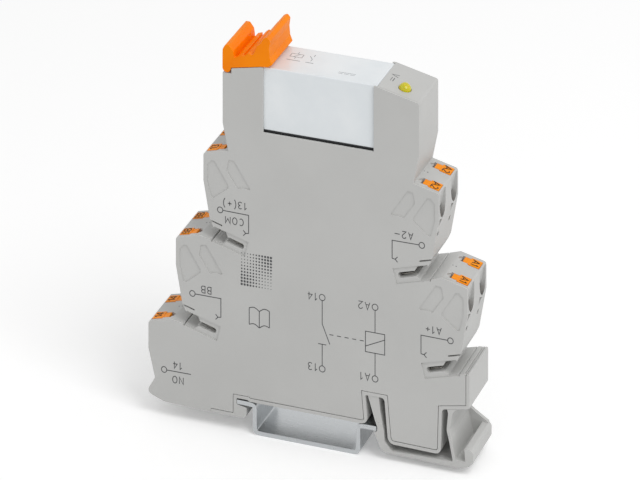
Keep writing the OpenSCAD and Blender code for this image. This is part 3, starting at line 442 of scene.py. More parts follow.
def mesh_of(name: str, points_m: np.ndarray, faces: Sequence[Sequence[int]]) -> bpy.types.Mesh:
    """Puts worked-out points and faces in a mesh.

    Args:
        name: The mesh's name.
        points_m: One row of X, Y and Z for each vertex, in metres.
        faces: Vertex numbers of each face.

    Returns:
        The mesh.
    """
    mesh = bpy.data.meshes.new(name)
    mesh.from_pydata(np.asarray(points_m, float).tolist(), [], [tuple(int(i) for i in f) for f in faces])
    mesh.update()
    return mesh


def depth_across(face: bmesh.types.BMFace, edge: bmesh.types.BMEdge) -> float:
    """How far a face reaches from the line of one of its edges.

    Args:
        face: The face.
        edge: One of its edges.

    Returns:
        The greatest distance of the face's corners from the edge's line.
    """
    start = edge.verts[0].co
    along = (edge.verts[1].co - start).normalized()
    return max(((v.co - start) - (v.co - start).dot(along) * along).length for v in face.verts)


def turns_in(face: bmesh.types.BMFace, corner: bmesh.types.BMVert) -> bool:
    """True where a face's outline turns inwards at a corner."""
    return not next(loop for loop in corner.link_loops if loop.face is face).is_convex


@dataclass(frozen=True)
class EdgeRounding:
    """Rounds the sharp edges that a moulding tool leaves rounded, where they have room for it.

    The shares are multiples of the rounding's width. Angles between faces above sharp_deg count as sharp.
    A triangle counts as folded where the cosine of its angle to its face is under least_facing, unless
    twice its area is under least_triangle, because the direction of such a sliver says nothing.
    """

    width: float
    steps: int
    sharp_deg: float
    room_share: float = 2.3
    corner_share: float = 1.15
    side_share: float = 1.3
    stop_share: float = 1.2
    fold_share: float = 1.6
    widest_turn_rad: float = 1.75
    spare: float = 0.01 * MM
    least_triangle: float = 0.001 * MM ** 2
    least_facing: float = 0.6

    def taken_at(self, edge: bmesh.types.BMEdge, end: bmesh.types.BMVert,
                 sharp: set[bmesh.types.BMEdge]) -> float:
        """How much of an edge's length the rounding around one of its ends takes up.

        Args:
            edge: The sharp edge.
            end: One of its two ends.
            sharp: All sharp edges.

        Returns:
            Width times the tangent of half the turn where a line of sharp edges goes on round an outer
            corner, a fixed share of the width at other corners, or the whole edge where there is no room.
        """
        others = [e for e in end.link_edges if e is not edge]
        line = [e for e in others if e in sharp]
        if len(line) != 1:
            crowded = any(e.calc_length() < self.room_share * self.width for e in others)
            return edge.calc_length() if crowded else self.corner_share * self.width
        ahead = line[0].other_vert(end).co - end.co
        turn = math.pi - (edge.other_vert(end).co - end.co).angle(ahead)
        least = self.side_share * self.width
        if turn > self.widest_turn_rad or any(e.calc_length() < least for e in others if e not in sharp):
            return edge.calc_length()
        shared = set(edge.link_faces) & set(line[0].link_faces)
        if any(turns_in(face, end) for face in shared):
            return 0.0
        return self.width * math.tan(turn / 2)

    def edges(self, shape: bmesh.types.BMesh) -> set[bmesh.types.BMEdge]:
        """Picks the edges that can be rounded.

        Args:
            shape: The clean shape.

        Returns:
            The edges. None of them ends at a short edge that stays sharp.
        """
        sharp = {e for e in shape.edges
                 if e.is_manifold and e.calc_face_angle(0) > math.radians(self.sharp_deg)}
        chosen = set()
        for edge in sharp:
            if any(depth_across(face, edge) < self.room_share * self.width for face in edge.link_faces):
                continue
            taken = self.spare
            for end in edge.verts:
                taken += self.taken_at(edge, end, sharp)
            if edge.calc_length() > taken:
                chosen.add(edge)
        least = self.stop_share * self.width
        while True:
            stopped = {e for e in chosen if any(other not in chosen and other.calc_length() < least
                                                for end in e.verts for other in end.link_edges)}
            if not stopped:
                return chosen
            chosen -= stopped

    def folds(self, shape: bmesh.types.BMesh) -> list[Vector]:
        """Finds the triangles that look away from the face they belong to.

        Args:
            shape: The rounded shape.

        Returns:
            The corners of those triangles.
        """
        spots = []
        for loops in shape.calc_loop_triangles():
            a, b, c = (loop.vert.co for loop in loops)
            across = (b - a).cross(c - a)
            facing = across.normalized().dot(loops[0].face.normal)
            if across.length > self.least_triangle and facing < self.least_facing:
                spots += [a.copy(), b.copy(), c.copy()]
        return spots

    def touches(self, edge: bmesh.types.BMEdge, spots: Sequence[Vector]) -> bool:
        """Tells whether one of the spots is close to an edge.

        Args:
            edge: The edge.
            spots: The places that count.

        Returns:
            True where a spot's distance from its nearest point on the edge is within the fold share.
        """
        start, end = (v.co for v in edge.verts)
        along = end - start
        shares = ((s, min(max((s - start).dot(along) / along.length_squared, 0.0), 1.0)) for s in spots)
        return any((start + share * along - s).length < self.fold_share * self.width for s, share in shares)

    def applied(self, shape: bmesh.types.BMesh) -> bmesh.types.BMesh:
        """Rounds a shape's edges, and leaves those sharp whose rounding would fold a face.

        Args:
            shape: The clean shape, which is freed.

        Returns:
            The rounded shape.
        """
        shape.normal_update()
        shape.edges.index_update()
        chosen = {edge.index for edge in self.edges(shape)}
        while True:
            trial = shape.copy()
            trial.edges.ensure_lookup_table()
            bmesh.ops.bevel(trial, geom=[trial.edges[i] for i in sorted(chosen)], offset=self.width,
                            offset_type="OFFSET", segments=self.steps, profile=0.5, affect="EDGES",
                            clamp_overlap=False)
            trial.normal_update()
            spots = self.folds(trial)
            shape.edges.ensure_lookup_table()
            left_sharp = {i for i in chosen if self.touches(shape.edges[i], spots)}
            if not left_sharp:
                shape.free()
                return trial
            chosen -= left_sharp
            trial.free()


@dataclass(frozen=True)
class Moulding:
    """How a copy of a solid is made: its finish, the record's slot and how far its edges are rounded.

    Faces that turn less than flat_deg are joined first, and edges over crease_deg are shaded sharp.
    """

    finish: Finish
    slot: Slot
    edge_mm: float
    steps: int = 2
    sharp_deg: float = 31.0
    crease_deg: float = 35.0
    flat_deg: float = 0.6
    weld_mm: float = 0.001

    def make(self, cad: bpy.types.Object, name: str, cuts_z_mm: Sequence[float] = ()) -> bpy.types.Object:
        """Makes the dressed copy of a solid.

        Args:
            cad: The solid that the copy stands for.
            name: The piece's name.
            cuts_z_mm: Heights of extra loops across the piece.

        Returns:
            The new piece, which replaces the solid and rides on nothing yet.
        """
        piece = link(bpy.data.objects.new(name, cad.data.copy()))
        mesh = piece.data
        if "custom_normal" in mesh.attributes:
            mesh.attributes.remove(mesh.attributes["custom_normal"])
        shape = bmesh.new()
        shape.from_mesh(mesh)
        bmesh.ops.remove_doubles(shape, verts=shape.verts, dist=self.weld_mm * MM)
        bmesh.ops.dissolve_limit(shape, angle_limit=math.radians(self.flat_deg), verts=shape.verts,
                                 edges=shape.edges)
        for height in cuts_z_mm:
            bmesh.ops.bisect_plane(shape, geom=shape.verts[:] + shape.edges[:] + shape.faces[:],
                                   plane_co=(0.0, 0.0, height * MM), plane_no=(0.0, 0.0, 1.0))
        if self.edge_mm:
            shape = EdgeRounding(self.edge_mm * MM, self.steps, self.sharp_deg).applied(shape)
        shape.to_mesh(mesh)
        shape.free()
        mesh.shade_smooth()
        mesh.set_sharp_from_angle(angle=math.radians(self.crease_deg))
        even = piece.modifiers.new("even_shading", "WEIGHTED_NORMAL")
        even.keep_sharp = True
        dress(piece, self.finish)
        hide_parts(cad.name)
        return piece

    def ride(self, cad: bpy.types.Object, body: str, name: str) -> bpy.types.Object:
        """Makes the dressed copy of a solid on one body.

        Args:
            cad: The solid that the copy stands for.
            body: The body that it rides on.
            name: The piece's name.

        Returns:
            The new piece.
        """
        piece = self.make(cad, name)
        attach(piece, body)
        return piece


class SubAssembly(ABC):
    """A group of pieces that belong together, with their sizes as fields."""

    @abstractmethod
    def build(self) -> list[bpy.types.Object]:
        """Makes and dresses the pieces.

        Returns:
            The pieces in the order they were made.
        """


@dataclass(frozen=True)
class Housing(SubAssembly):
    """The moulded shell and its clip-on side cover."""

    nodes: Nodes
    edge_mm: float = 0.12

    def build(self) -> list[bpy.types.Object]:
        """Makes the shell and the cover.

        Returns:
            The two pieces.
        """
        shell = Moulding(Finish.HOUSING, Slot.HOUSING, self.edge_mm)
        cover = Moulding(Finish.COVER, Slot.HOUSING, self.edge_mm)
        return [shell.ride(self.nodes["housing_shell"], "housing", "shell_moulding"),
                cover.ride(self.nodes["side_cover"], "housing", "cover_moulding")]


@dataclass(frozen=True)
class RailFoot(SubAssembly):
    """The sprung foot: its rigid plate and the two thin legs that bend between the housing and the plate."""

    nodes: Nodes
    edge_mm: float = 0.18
    left_leg_x: float = 17.0
    right_leg_x: float = 35.5
    held_z: float = 6.9
    free_z: float = 1.0
    first_cut_z: float = 1.4
    last_cut_z: float = 6.6
    cuts: int = 14

    def leg(self, name: str, x: float) -> bpy.types.Object:
        """Makes one leg, with loops across it.

        Args:
            name: Name of the leg's solid.
            x: Where the leg stands; not used.

        Returns:
            The new piece.
        """
        levels = np.linspace(self.first_cut_z, self.last_cut_z, self.cuts).tolist()
        piece = Moulding(Finish.HOUSING, Slot.HOUSING, 0.0).make(self.nodes[name], f"{name}_moulding", levels)
        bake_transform(piece)
        return piece

    def build(self) -> list[bpy.types.Object]:
        """Makes the plate and the legs.

        Returns:
            The three pieces.
        """
        plate = Moulding(Finish.HOUSING, Slot.HOUSING, self.edge_mm)
        return [plate.ride(self.nodes["rail_foot"], "foot", "foot_moulding"),
                self.leg("foot_leaf_left", self.left_leg_x),
                self.leg("foot_leaf_right", self.right_leg_x)]


@dataclass(frozen=True)
class RetainingBracket(SubAssembly):
    """The orange bracket that holds the relay down."""

    nodes: Nodes
    edge_mm: float = 0.14

    def build(self) -> list[bpy.types.Object]:
        """Makes the bracket."""
        bracket = Moulding(Finish.ORANGE, Slot.ORANGE, self.edge_mm)
        return [bracket.ride(self.nodes["retaining_bracket"], "bracket", "bracket_moulding")]


@dataclass(frozen=True)
class PlugInRelay(SubAssembly):
    """The relay's white case, with its softer edges, and its dark base."""

    nodes: Nodes
    case_edge_mm: float = 0.25
    case_steps: int = 3
    base_edge_mm: float = 0.12

    def build(self) -> list[bpy.types.Object]:
        """Makes the case and the base.

        Returns:
            The two pieces.
        """
        case = Moulding(Finish.RELAY_CASE, Slot.RELAY_WHITE, self.case_edge_mm, self.case_steps)
        base = Moulding(Finish.RELAY_BASE, Slot.RELAY_BLACK, self.base_edge_mm)
        return [case.ride(self.nodes["relay_case"], "relay", "relay_case_moulding"),
                base.ride(self.nodes["relay_base"], "relay", "relay_base_moulding")]


@dataclass(frozen=True)
class Terminals(SubAssembly):
    """The ten push buttons, each over the clamping spring that it presses flat."""

    nodes: Nodes
    button_edge_mm: float = 0.1
    spring_edge_mm: float = 0.05
    spring_steps: int = 1
    spring_foot: Point = (5.0, -12.1)
    pressed_share: float = 0.5

    def button(self, tier: Tier, row: Row) -> bpy.types.Object:
        """Makes one push button.

        Args:
            tier: The terminal's tier.
            row: The terminal's row.

        Returns:
            The new piece.
        """
        name = f"button_{tier.name}_{row.value}"
        # The buttons take the orange with painted light in its colour
        recipe = Moulding(Finish.BUTTON, Slot.ORANGE, self.button_edge_mm)
        return recipe.ride(self.nodes[name], name, f"{name}_moulding")

    def spring(self, tier: Tier, row: Row) -> bpy.types.Object:
        """Makes one clamping spring, with a mesh of its own.

        Args:
            tier: The terminal's tier.
            row: The terminal's row.

        Returns:
            The new piece.
        """
        name = f"clamp_spring_{tier.name}_{row.value}"
        recipe = Moulding(Finish.SPRING_STEEL, Slot.SPRING, self.spring_edge_mm, self.spring_steps)
        piece = recipe.ride(self.nodes[name], "housing", f"{name}_strip")
        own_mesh(piece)
        return piece

    def build(self) -> list[bpy.types.Object]:
        """Makes all buttons, then all springs."""
        places = [(tier, row) for tier in TIERS for row in Row]
        return [self.button(*place) for place in places] + [self.spring(*place) for place in places]


@dataclass(frozen=True)
class InnerParts(SubAssembly):
    """The electrical parts inside, whose solids have the right shape and only get their finishes."""

    nodes: Nodes

    def finishes(self) -> dict[Finish, list[str]]:
        """Says which inner solid has which finish.

        Returns:
            The names of the solids of each finish.
        """
        return {
            Finish.TINNED_COPPER: ["coil_socket", "com_terminal", "fixed_contact", "coil_pins"]
            + [f"busbar_{tier.name}" for tier in TIERS],
            Finish.BOARD: ["control_board"],
            Finish.BLACK_PART: ["bridge_rectifier", "flyback_diode"],
            Finish.RESISTOR: ["series_resistor"],
            Finish.SLEEVE: ["filter_capacitor"],
            Finish.SPRING_STEEL: ["lamp_leads", "contact_spring", "moving_contact"],
            Finish.SOFT_IRON: ["bracket_pin", "coil_core", "coil_yoke", "armature"],
            Finish.BOBBIN: ["coil_bobbin"],
            Finish.COPPER: ["coil_winding"],
            Finish.LENS: ["indicator_lamp"],
        }

    def coat(self, name: str, finish: Finish) -> bpy.types.Object:
        """Gives a solid of the frame its finish, on the object's own slots.

        Args:
            name: The solid's name.
            finish: What it is finished in.

        Returns:
            The solid's object.
        """
        cad = self.nodes[name]
        if not cad.material_slots:
            cad.data.materials.append(finish.material())
        for place in cad.material_slots:
            place.link = "OBJECT"
            place.material = finish.material()
        return cad

    def build(self) -> list[bpy.types.Object]:
        """Gives every inner solid its finish."""
        return [self.coat(name, finish) for finish, names in self.finishes().items() for name in names]


ARC_STEP_DEG = 15


def arc(x: float, y: float, across: float, up: float, start_deg: float, end_deg: float) -> list[Point]:
    """Points on part of an oval: its middle plus its half axes times the cosine and sine of an angle.

    Args:
        x: Middle of the oval across.
        y: Middle of the oval upwards.
        across: Its half axis across.
        up: Its half axis upwards.
        start_deg: Angle of the first point.
        end_deg: Angle of the last point.

    Returns:
        The points, at most the arc step apart.
    """
    count = 2 + int(abs(end_deg - start_deg) / ARC_STEP_DEG)
    turns = np.radians(np.linspace(start_deg, end_deg, count))
    return [(x + across * math.cos(t), y + up * math.sin(t)) for t in turns]


# Width and unit-height strokes of each sign
SIGNS: dict[str, tuple[float, list[list[Point]]]] = {
    "1": (0.34, [[(0.0, 0.74), (0.26, 1), (0.26, 0)]]),
    "2": (0.6, [[*arc(0.3, 0.7, 0.29, 0.3, 165, -35), (0, 0), (0.6, 0)]]),
    "3": (0.58, [arc(0.28, 0.76, 0.25, 0.24, 150, -90), arc(0.28, 0.26, 0.29, 0.26, 90, -150)]),
    "4": (0.62, [[(0.46, 0), (0.46, 1), (0, 0.3), (0.64, 0.3)]]),
    "A": (0.68, [[(0, 0), (0.34, 1), (0.68, 0)], [(0.11, 0.32), (0.57, 0.32)]]),
    "B": (0.58, [[(0, 0.54), *arc(0.3, 0.77, 0.24, 0.23, -90, 90), (0, 1), (0, 0),
                  *arc(0.3, 0.27, 0.28, 0.27, -90, 90)]]),
    "C": (0.62, [arc(0.34, 0.5, 0.34, 0.5, 50, 310)]),
    "M": (0.76, [[(0, 0), (0, 1), (0.38, 0.3), (0.76, 1), (0.76, 0)]]),
    "N": (0.62, [[(0, 0), (0, 1), (0.62, 0), (0.62, 1)]]),
    "O": (0.7, [arc(0.35, 0.5, 0.35, 0.5, 0, 360)]),
    "V": (0.66, [[(0, 1), (0.33, 0), (0.66, 1)]]),
    "(": (0.3, [arc(0.5, 0.5, 0.5, 0.82, 122, 238)]),
    ")": (0.3, [arc(-0.2, 0.5, 0.5, 0.82, 58, -58)]),
    "+": (0.6, [[(0, 0.5), (0.6, 0.5)], [(0.3, 0.2), (0.3, 0.8)]]),
    "-": (0.8, [[(0, 0.5), (0.8, 0.5)]]),
}


def curved(line: np.ndarray, rounds: int = 3, share: float = 0.25, least_mm: float = 1e-6) -> np.ndarray:
    """Rounds a line's inner corners, and keeps its ends.

    Each round puts two points on every stretch, one share in from either end, in place of its corners.

    Args:
        line: Points of the line.
        rounds: How often the corners are cut.
        share: Share of a stretch that is cut at each end.
        least_mm: Distance under which two points count as one.

    Returns:
        The points of the rounded line.
    """
    for _ in range(rounds):
        near, far = line[:-1], line[1:]
        cut = np.stack([(1 - share) * near + share * far, share * near + (1 - share) * far], axis=1)
        line = np.vstack([line[:1], cut.reshape(-1, 2)[1:-1], line[-1:]])
    keep = np.r_[True, np.linalg.norm(np.diff(line, axis=0), axis=1) > least_mm]
    return line[keep]


def upside(point: Point) -> Point:
    """Turns X and Z of the front view to the flat places of a print that stands on its head."""
    return (-point[0], -point[1])


class Print:
    """Ink on one face: lines of one width, signs, discs and bars, gathered in one thin mesh.

    Flat places are in millimetres along the reading direction and along the signs' upright direction.
    """

    film_mm: float = 0.02
    shortest_mitre: float = 0.2
    sharpest_mitre: float = 0.45

    def __init__(self, origin: Sequence[float], reading: Sequence[float], upright: Sequence[float],
                 line_mm: float = 0.2, lift_mm: float = 0.015) -> None:
        """Places the print.

        Args:
            origin: Place of the flat (0, 0), in millimetres.
            reading: Unit direction in which the signs follow each other.
            upright: Unit direction to the signs' tops.
            line_mm: Width of the lines.
            lift_mm: Height of the ink over the face.
        """
        self.origin = np.array(origin, float)
        self.axes = np.array([reading, upright], float)
        self.out = np.cross(self.axes[0], self.axes[1])
        self.line_mm = line_mm
        self.lift_mm = lift_mm
        self.points: list[np.ndarray] = []
        self.faces: list[tuple[int, ...]] = []
        self.count = 0

    def add(self, flat: np.ndarray, faces: Sequence[Sequence[int]]) -> None:
        """Adds flat points and the faces between them.

        Args:
            flat: One row of reading and upright place for each point.
            faces: Numbers of each face's points, counted from the first of them.
        """
        self.points.append(flat)
        self.faces += [tuple(self.count + i for i in face) for face in faces]
        self.count += len(flat)

    def line(self, path: Sequence[Point]) -> None:
        """Adds a line of even width. It closes where its ends meet.

        At each corner the line's two sides lie along the bisector of its stretches, as far out as the
        line's half width divided by the cosine of half the turn, within a limit for sharp corners.

        Args:
            path: The corners of the line's middle.
        """
        path = np.asarray(path, float)
        closed = len(path) > 3 and np.allclose(path[0], path[-1])
        ahead = np.diff(path, axis=0)
        ahead /= np.linalg.norm(ahead, axis=1)[:, None]
        before = np.vstack([ahead[-1:] if closed else ahead[:1], ahead])
        after = np.vstack([ahead, ahead[:1] if closed else ahead[-1:]])
        across = np.stack([-(before + after)[:, 1], (before + after)[:, 0]], axis=1)
        across /= np.maximum(np.linalg.norm(across, axis=1), self.shortest_mitre)[:, None]
        half = np.abs(across[:, 0] * -before[:, 1] + across[:, 1] * before[:, 0])
        side = across * (self.line_mm / 2 / np.maximum(half, self.sharpest_mitre))[:, None]
        count = len(path)
        stretches = [(i, i + count, i + count + 1, i + 1) for i in range(count - 1)]
        self.add(np.vstack([path + side, path - side]), stretches)

    def disc(self, centre: Point, radius: float, sides: int = 20) -> None:
        """Adds a filled disc."""
        turn = np.linspace(0, math.tau, sides, endpoint=False)
        self.add(np.array(centre) + radius * np.c_[np.cos(turn), np.sin(turn)], [tuple(range(sides))])

    def ring(self, centre: Point, radius: float, sides: int = 28) -> None:
        """Adds a circle's line."""
        turn = np.linspace(0, math.tau, sides + 1)
        self.line(np.array(centre) + radius * np.c_[np.cos(turn), np.sin(turn)])

    def bar(self, low: Point, high: Point) -> None:
        """Adds a filled rectangle."""
        self.add(np.array([low, (high[0], low[1]), high, (low[0], high[1])], float), [(0, 1, 2, 3)])

    def words(self, text: str, at: Point, height: float, gap: float = 0.38) -> None:
        """Adds signs from the stroke table.

        Args:
            text: The signs.
            at: Lower start of the first sign.
            height: Height of the signs.
            gap: Space between signs, as a share of their height.
        """
        reach = at[0]
        for sign in text:
            width, lines = SIGNS[sign]
            for line in lines:
                self.line(np.array(line, float) * height + (reach, at[1]))
            reach += (width + gap) * height

    def build(self, name: str, finish: Finish, body: str,
              bowl: tuple[Point, float] | None = None) -> bpy.types.Object:
        """Makes the print.

        In a hollow ball face the ink rises with its distance from the bowl's middle, by the bowl's radius
        less the root of that radius squared less the distance squared.

        Args:
            name: The piece's name.
            finish: The ink.
            body: The body that the print rides on.
            bowl: Middle and radius of the hollow ball face that the print lies in, if it isn't flat.

        Returns:
            The new piece.
        """
        flat = np.vstack(self.points)
        lift = np.full(len(flat), self.lift_mm)
        if bowl:
            lift += np.maximum(0.0, bowl[1] - np.sqrt(bowl[1] ** 2 - ((flat - bowl[0]) ** 2).sum(axis=1)))
        place = self.origin + flat @ self.axes + lift[:, None] * self.out
        piece = dress(link(bpy.data.objects.new(name, mesh_of(name, place * MM, self.faces))), finish)
        film = piece.modifiers.new("ink_film", "SOLIDIFY")
        film.thickness, film.offset = self.film_mm * MM, -1.0
        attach(piece, body)
        return piece


@dataclass(frozen=True)
class TerminalSign:
    """The printed wiring sign beside a tier: a clamp's circle, a line round a corner and an open fork.

    Its places are X and Z as seen in the front view, and its words stand on their heads.
    """

    circle: Point
    corner: Point
    low: Point
    fork_dir: float
    words: tuple[tuple[str, Point], ...]
    forked: bool = True
    radius: float = 0.68
    root: Point = (0.75, -0.1)
    prong: Point = (0.6, 0.62)
    words_mm: float = 1.6

    def draw(self, ink: Print) -> None:
        """Draws the sign.

        Args:
            ink: The print that it is part of.
        """
        start = self.circle[0] + math.copysign(self.radius, self.corner[0] - self.circle[0])
        ink.ring(upside(self.circle), self.radius)
        tail = (self.low,) if self.forked else ()
        ink.line([upside(p) for p in ((start, self.circle[1]), self.corner, *tail)])
        if self.forked:
            root = (self.low[0] + self.root[0] * self.fork_dir, self.low[1] + self.root[1])
            ink.line([upside(p) for p in (self.low, root)])
            for rise in (self.prong[1], -self.prong[1]):
                tip = (root[0] + self.prong[0] * self.fork_dir, root[1] + rise)
                ink.line([upside(p) for p in (root, tip)])
        for text, at in self.words:
            ink.words(text, upside(at), self.words_mm)


TERMINAL_SIGNS = [
    TerminalSign((-21.79, 44.22), (-14.55, 44.12), (-14.55, 39.83), -1,
                 (("13(+)", (-15.1, 46.9)), ("COM", (-15.9, 42.95)))),
    TerminalSign((-28.87, 23.18), (-21.6, 23.2), (-21.6, 18.77), -1, (("BB", (-24.1, 25.4)),)),
    TerminalSign((-36.12, 3.82), (-29.24, 3.86), (-29.24, 3.86), -1,
                 (("14", (-31.6, 6.15)), ("NO", (-31.2, 2.7))), False),
    TerminalSign((28.79, 44.37), (21.44, 44.33), (21.44, 40.12), 1, (("A2-", (26.6, 46.85)),)),
    TerminalSign((35.85, 23.32), (28.59, 23.38), (28.59, 19.04), 1, (("A1+", (33.6, 25.9)),)),
]


@dataclass(frozen=True)
class DotField:
    """A plain square field of dots whose size swells and shrinks evenly along both directions."""

    low: Point = (-16.3, 27.6)
    count: int = 11
    pitch: float = 0.74
    radius: float = 0.2
    swing: float = 0.1
    sides: int = 10

    def draw(self, ink: Print) -> None:
        """Draws the dots. A dot's radius is the mean radius plus the swing times two cosines.

        Args:
            ink: The print that they are part of.
        """
        for row in range(self.count):
            for column in range(self.count):
                share = (math.cos(row * math.pi / (self.count - 1))
                         * math.cos(column * math.pi / (self.count - 1)))
                at = (self.low[0] + column * self.pitch, self.low[1] + row * self.pitch)
                ink.disc(upside(at), self.radius + self.swing * share, self.sides)


@dataclass(frozen=True)
class OpenBook:
    """The plain sign of an open book, which asks to read the papers."""

    left: float = -14.4
    right: float = -9.3
    base: float = 18.4
    top: float = 22.3
    rise: float = 0.45

    def draw(self, ink: Print) -> None:
        """Draws the curved pages' edges, then the book's sides and its fold.

        Args:
            ink: The print that it is part of.
        """
        fold = (self.left + self.right) / 2
        for edge in (self.base, self.top):
            for half in (self.left, self.right):
                page = [(fold, edge - self.rise), ((fold + half) / 2, edge + self.rise), (half, edge)]
                ink.line([upside(p) for p in curved(np.array(page))])
        for x, drop in ((self.left, 0.0), (fold, self.rise), (self.right, 0.0)):
            ink.line([upside((x, self.base - drop)), upside((x, self.top - drop))])


@dataclass(frozen=True)
class RelayDiagram:
    """A textbook relay circuit: coil with its terminals, link line, and a make contact.

    Its places are measured from the circuit's middle, along the reading and upright directions.
    """

    middle: Point = (10.0, 19.5)
    line_mm: float = 0.19
    coil_x: float = -7.2
    contact_x: float = 6.0
    clamp_up: float = 8.4
    clamp_radius: float = 0.72
    coil_half: Point = (2.4, 2.4)
    slash_up: float = 1.1
    link_start: float = -4.4
    link_pitch: float = 1.9
    link_dash: float = 1.0
    dashes: int = 5
    contact_up: float = 2.6
    contact_half: float = 1.0
    lever_root: float = -2.2
    lever_tip: Point = (4.1, 2.3)
    words_mm: float = 1.7
    words: tuple[tuple[str, Point], ...] = (("A1", (-5.9, 7.4)), ("A2", (-5.9, -9.2)),
                                            ("13", (7.3, 7.4)), ("14", (7.3, -9.2)))

    def coil(self, ink: Print) -> None:
        """Draws the coil's leads, its box and the slash across it.

        Args:
            ink: The circuit's print.
        """
        x, half, up = self.coil_x, self.coil_half[0], self.coil_half[1]
        lead = self.clamp_up - self.clamp_radius
        ink.line([(x, lead), (x, up)])
        ink.line([(x, -lead), (x, -up)])
        ink.line([(x - half, -up), (x + half, -up), (x + half, up), (x - half, up), (x - half, -up)])
        ink.line([(x - half, -self.slash_up), (x + half, self.slash_up)])

    def contact(self, ink: Print) -> None:
        """Draws the dashed link, the contact's leads, its lever and its fixed side.

        Args:
            ink: The circuit's print.
        """
        for k in range(self.dashes):
            start = self.link_start + self.link_pitch * k
            ink.line([(start, 0.0), (start + self.link_dash, 0.0)])
        x, lead = self.contact_x, self.clamp_up - self.clamp_radius
        ink.line([(x, lead), (x, self.contact_up)])
        ink.line([(x, -lead), (x, self.lever_root), self.lever_tip])
        ink.line([(x - self.contact_half, self.contact_up), (x + self.contact_half, self.contact_up)])

    def draw(self, face_y: float) -> Print:
        """Draws the whole circuit.

        Args:
            face_y: Depth of the face that it is printed on.

        Returns:
            The finished print.
        """
        ink = Print((self.middle[0], face_y, self.middle[1]), (-1, 0, 0), (0, 0, -1), line_mm=self.line_mm)
        for x in (self.coil_x, self.contact_x):
            for up in (self.clamp_up, -self.clamp_up):
                ink.ring((x, up), self.clamp_radius)
        self.coil(ink)
        self.contact(ink)
        for text, at in self.words:
            ink.words(text, at, self.words_mm)
        return ink


@dataclass(frozen=True)
class CoverPrints(SubAssembly):
    """The cover's wiring signs, a plain dot field, an open book and a generic relay circuit."""

    face_y: float = -7.0

    def blank(self) -> Print:
        """An empty print on the cover, whose signs stand on their heads as the module lies."""
        return Print((0.0, self.face_y, 0.0), (-1, 0, 0), (0, 0, -1))

    def build(self) -> list[bpy.types.Object]:
        """Makes the three prints.

        Returns:
            The three pieces.
        """
        signs = self.blank()
        for sign in TERMINAL_SIGNS:
            sign.draw(signs)
        marks = self.blank()
        DotField().draw(marks)
        OpenBook().draw(marks)
        return [signs.build("terminal_signs", Finish.DARK_INK, "housing"),
                marks.build("dot_field_and_book", Finish.DARK_INK, "housing"),
                RelayDiagram().draw(self.face_y).build("relay_diagram", Finish.DARK_INK, "housing")]


@dataclass(frozen=True)
class TierPrints(SubAssembly):
    """Each button's terminal number, in its sunken dish, and two dark dots of painted shade between the rows,
    where two tiny hollows are.
    """

    line_mm: float = 0.24
    lift_mm: float = 0.065
    words_mm: float = 1.75
    gap_share: float = 0.2
    base_in: float = 2.72
    dish_in: float = 1.85
    dish_radius: float = 6.85
    # Dots of painted shade for two tiny hollows: their line width, their places in from the corner with their
    # radii, and their sides
    shade_dot_line_mm: float = 0.1
    shade_dot_places: tuple[Point, ...] = ((5.3, 0.16), (6.1, 0.12))
    shade_dot_sides: int = 12

    def blank(self, tier: Tier, row: Row | None, line_mm: float) -> Print:
        """An empty print on a tier's top or button, with the signs' tops outwards.

        Args:
            tier: The tier.
            row: The terminal row, or none for the tier's middle.
            line_mm: Width of its lines.

        Returns:
            The print, whose flat (0, 0) is on the row's middle at the tier's corner.
        """
        side = tier.side.value
        upright = (side * math.cos(tier.slope), 0.0, -math.sin(tier.slope))
        place = (tier.corner[0], tier.y_of(row) if row else 0.0, tier.corner[1])
        return Print(place, (0.0, -side, 0.0), upright, line_mm)

    def label(self, tier: Tier, row: Row) -> bpy.types.Object:
        """Prints a button's terminal number across the middle of its dish.

        Args:
            tier: The button's tier.
            row: The button's row.

        Returns:
            The new piece.
        """
        ink = self.blank(tier, row, self.line_mm)
        ink.lift_mm = self.lift_mm
        width = sum(SIGNS[sign][0] for sign in tier.label) + self.gap_share
        start = (-width * self.words_mm / 2, -self.base_in)
        ink.words(tier.label, start, self.words_mm, gap=self.gap_share)
        terminal = f"{tier.name}_{row.value}"
        return ink.build(f"label_{terminal}", Finish.BLACK_INK, f"button_{terminal}",
                         bowl=((0.0, -self.dish_in), self.dish_radius))

    def hollow_shade_dots(self, tier: Tier) -> bpy.types.Object:
        """Draws two small dark dots on a tier's top, painted shade that stands for two tiny hollows.

        Args:
            tier: The tier.

        Returns:
            The new piece.
        """
        marks = self.blank(tier, None, self.shade_dot_line_mm)
        # Dark ink discs: painted shade where two tiny hollows are
        for inwards, radius in self.shade_dot_places:
            marks.disc((0.0, -inwards), radius, self.shade_dot_sides)
        return marks.build(f"hollow_shade_dots_{tier.name}", Finish.DARK_INK, "housing")

    def build(self) -> list[bpy.types.Object]:
        """Makes the prints tier by tier.

        Returns:
            The pieces in that order.
        """
        pieces = []
        for tier in TIERS:
            pieces += [self.label(tier, row) for row in Row]
            pieces.append(self.hollow_shade_dots(tier))
        return pieces


